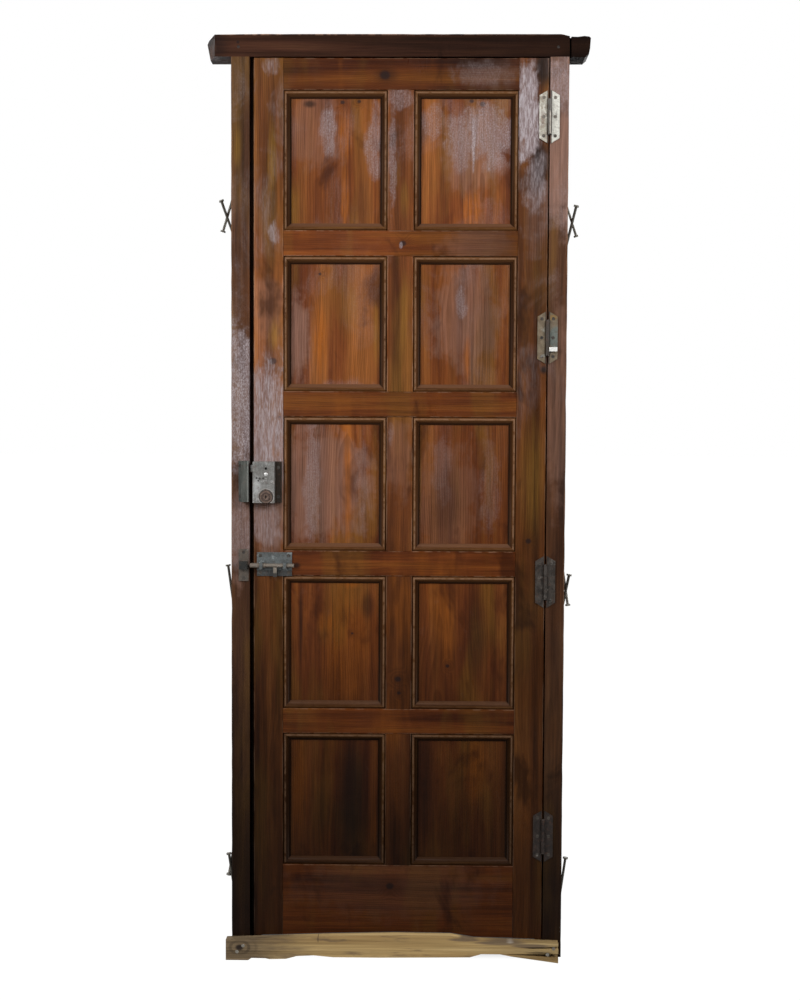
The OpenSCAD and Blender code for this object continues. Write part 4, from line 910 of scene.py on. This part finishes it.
def sticker(name, centre, width, height, thickness=0.0003):
    """A small blank paper sticker."""
    bm = bmesh.new()
    bmesh.ops.create_cube(bm, size=1.0)
    bmesh.ops.scale(bm, vec=(width, thickness, height), verts=bm.verts)
    upright = [e for e in bm.edges if abs(e.verts[0].co.y - e.verts[1].co.y) > 1e-6]
    bmesh.ops.bevel(bm, geom=upright, affect="EDGES", offset=0.001, offset_type="OFFSET", segments=3,
                    profile=0.5, material=-1)
    bmesh.ops.translate(bm, vec=centre, verts=bm.verts)
    paper = plain("sticker_paper", (0.80, 0.79, 0.75), 0.6)
    add_piece(name, bm, "frame", SLOT_OF["hinge_2_jamb_plate"], paper)


sticker("hinge_2_sticker", (second_high.x - 0.010, second_low.y, 1.4205), width=0.0185, height=0.0095)

# ------------------------------------------------------- floor, light, camera

def place_floor():
    """A wide pale floor that fades into the white surroundings."""
    bm = bmesh.new()
    bmesh.ops.create_circle(bm, cap_ends=True, segments=64, radius=60.0)
    mesh = bpy.data.meshes.new("floor")
    bm.to_mesh(mesh)
    bm.free()
    floor = bpy.data.objects.new("floor", mesh)
    bpy.context.scene.collection.objects.link(floor)
    f = Finish("pale_floor")
    # A soft shadow where the frame stands
    beside = f.span(f.math("ABSOLUTE", f.axis(0)), 0.383, 0.362)
    behind = f.span(f.math("ABSOLUTE", f.math("SUBTRACT", f.axis(1), 0.16)), 0.20, 0.08)
    shadow = f.times(beside, behind)
    color = f.blend(f.times(shadow, 0.6), (0.30, 0.30, 0.295), (0.02, 0.02, 0.02))
    matt = f.add("BsdfDiffuse", {"Color": color})
    glow = f.add("Emission", {"Color": (1.0, 1.0, 1.0, 1.0), "Strength": 1.13})
    seen = f.times(f.add("LightPath", {}, "Is Camera Ray"), f.math("MULTIPLY_ADD", shadow, -0.9, 0.9))
    f.add("OutputMaterial", {"Surface": f.add("MixShader", {0: seen, 1: matt, 2: glow})})
    mesh.materials.append(f.material)


def place_light(name, at, towards, size, power, color=(1, 1, 1)):
    """A rectangular softbox that the camera doesn't see."""
    data = bpy.data.lights.new(name, "AREA")
    data.shape = "RECTANGLE"
    data.size, data.size_y = size
    data.energy = power
    data.color = color
    light = bpy.data.objects.new(name, data)
    bpy.context.scene.collection.objects.link(light)
    light.visible_camera = False
    light.location = at
    light.rotation_euler = (Vector(towards) - Vector(at)).to_track_quat("-Z", "Y").to_euler()


def white_surroundings(seen=1.0, lighting=0.10):
    """A white backdrop that lights the door only softly."""
    world = bpy.data.worlds.new("studio")
    bpy.context.scene.world = world
    world.use_nodes = True
    tree = world.node_tree
    background = tree.nodes["Background"]
    background.inputs["Color"].default_value = (1, 1, 1, 1)
    path = tree.nodes.new("ShaderNodeLightPath")
    strength = tree.nodes.new("ShaderNodeMapRange")
    tree.links.new(path.outputs["Is Camera Ray"], strength.inputs["Value"])
    strength.inputs["To Min"].default_value = lighting
    strength.inputs["To Max"].default_value = seen
    tree.links.new(strength.outputs["Result"], background.inputs["Strength"])


def place_camera():
    """In front of the door at chest height, level to within three degrees."""
    data = bpy.data.cameras.new("camera")
    data.sensor_width = 36.0
    data.lens = 53.9
    camera = bpy.data.objects.new("camera", data)
    bpy.context.scene.collection.objects.link(camera)
    camera.location = (0.061, -3.472, 1.245)
    camera.rotation_euler = (math.radians(87.15), math.radians(-0.26), math.radians(0.95))
    bpy.context.scene.camera = camera


SOFTBOX = (1.4, 1.8)
FRONT_WATTS = 104
BACK_WATTS = 62
DAYLIGHT = (0.92, 0.95, 1.0)

place_floor()
white_surroundings()
place_light("left_softbox", (-2.8, -2.4, 2.8), (0.0, 0.0, 1.4), SOFTBOX, FRONT_WATTS)
place_light("right_softbox", (2.7, -2.6, 2.9), (0.0, 0.0, 1.4), SOFTBOX, FRONT_WATTS)
place_light("back_left_softbox", (-1.2, 3.4, 2.5), (0.0, 0.0, 1.2), SOFTBOX, BACK_WATTS)
place_light("back_right_softbox", (1.2, 3.4, 2.5), (0.0, 0.0, 1.2), SOFTBOX, BACK_WATTS)
place_light("room", (0.2, -4.6, 2.4), (0.0, 0.0, 1.3), (3.0, 2.0), 7)
place_light("window", (0.35, -2.2, 2.6), (0.0, 0.0, 1.6), (1.1, 1.2), 2.5, DAYLIGHT)
place_light("side_window", (-0.85, -2.2, 1.25), (-0.2, 0.0, 1.2), (0.5, 0.9), 3.0, DAYLIGHT)
place_camera()
bpy.context.scene.view_settings.view_transform = "Standard"
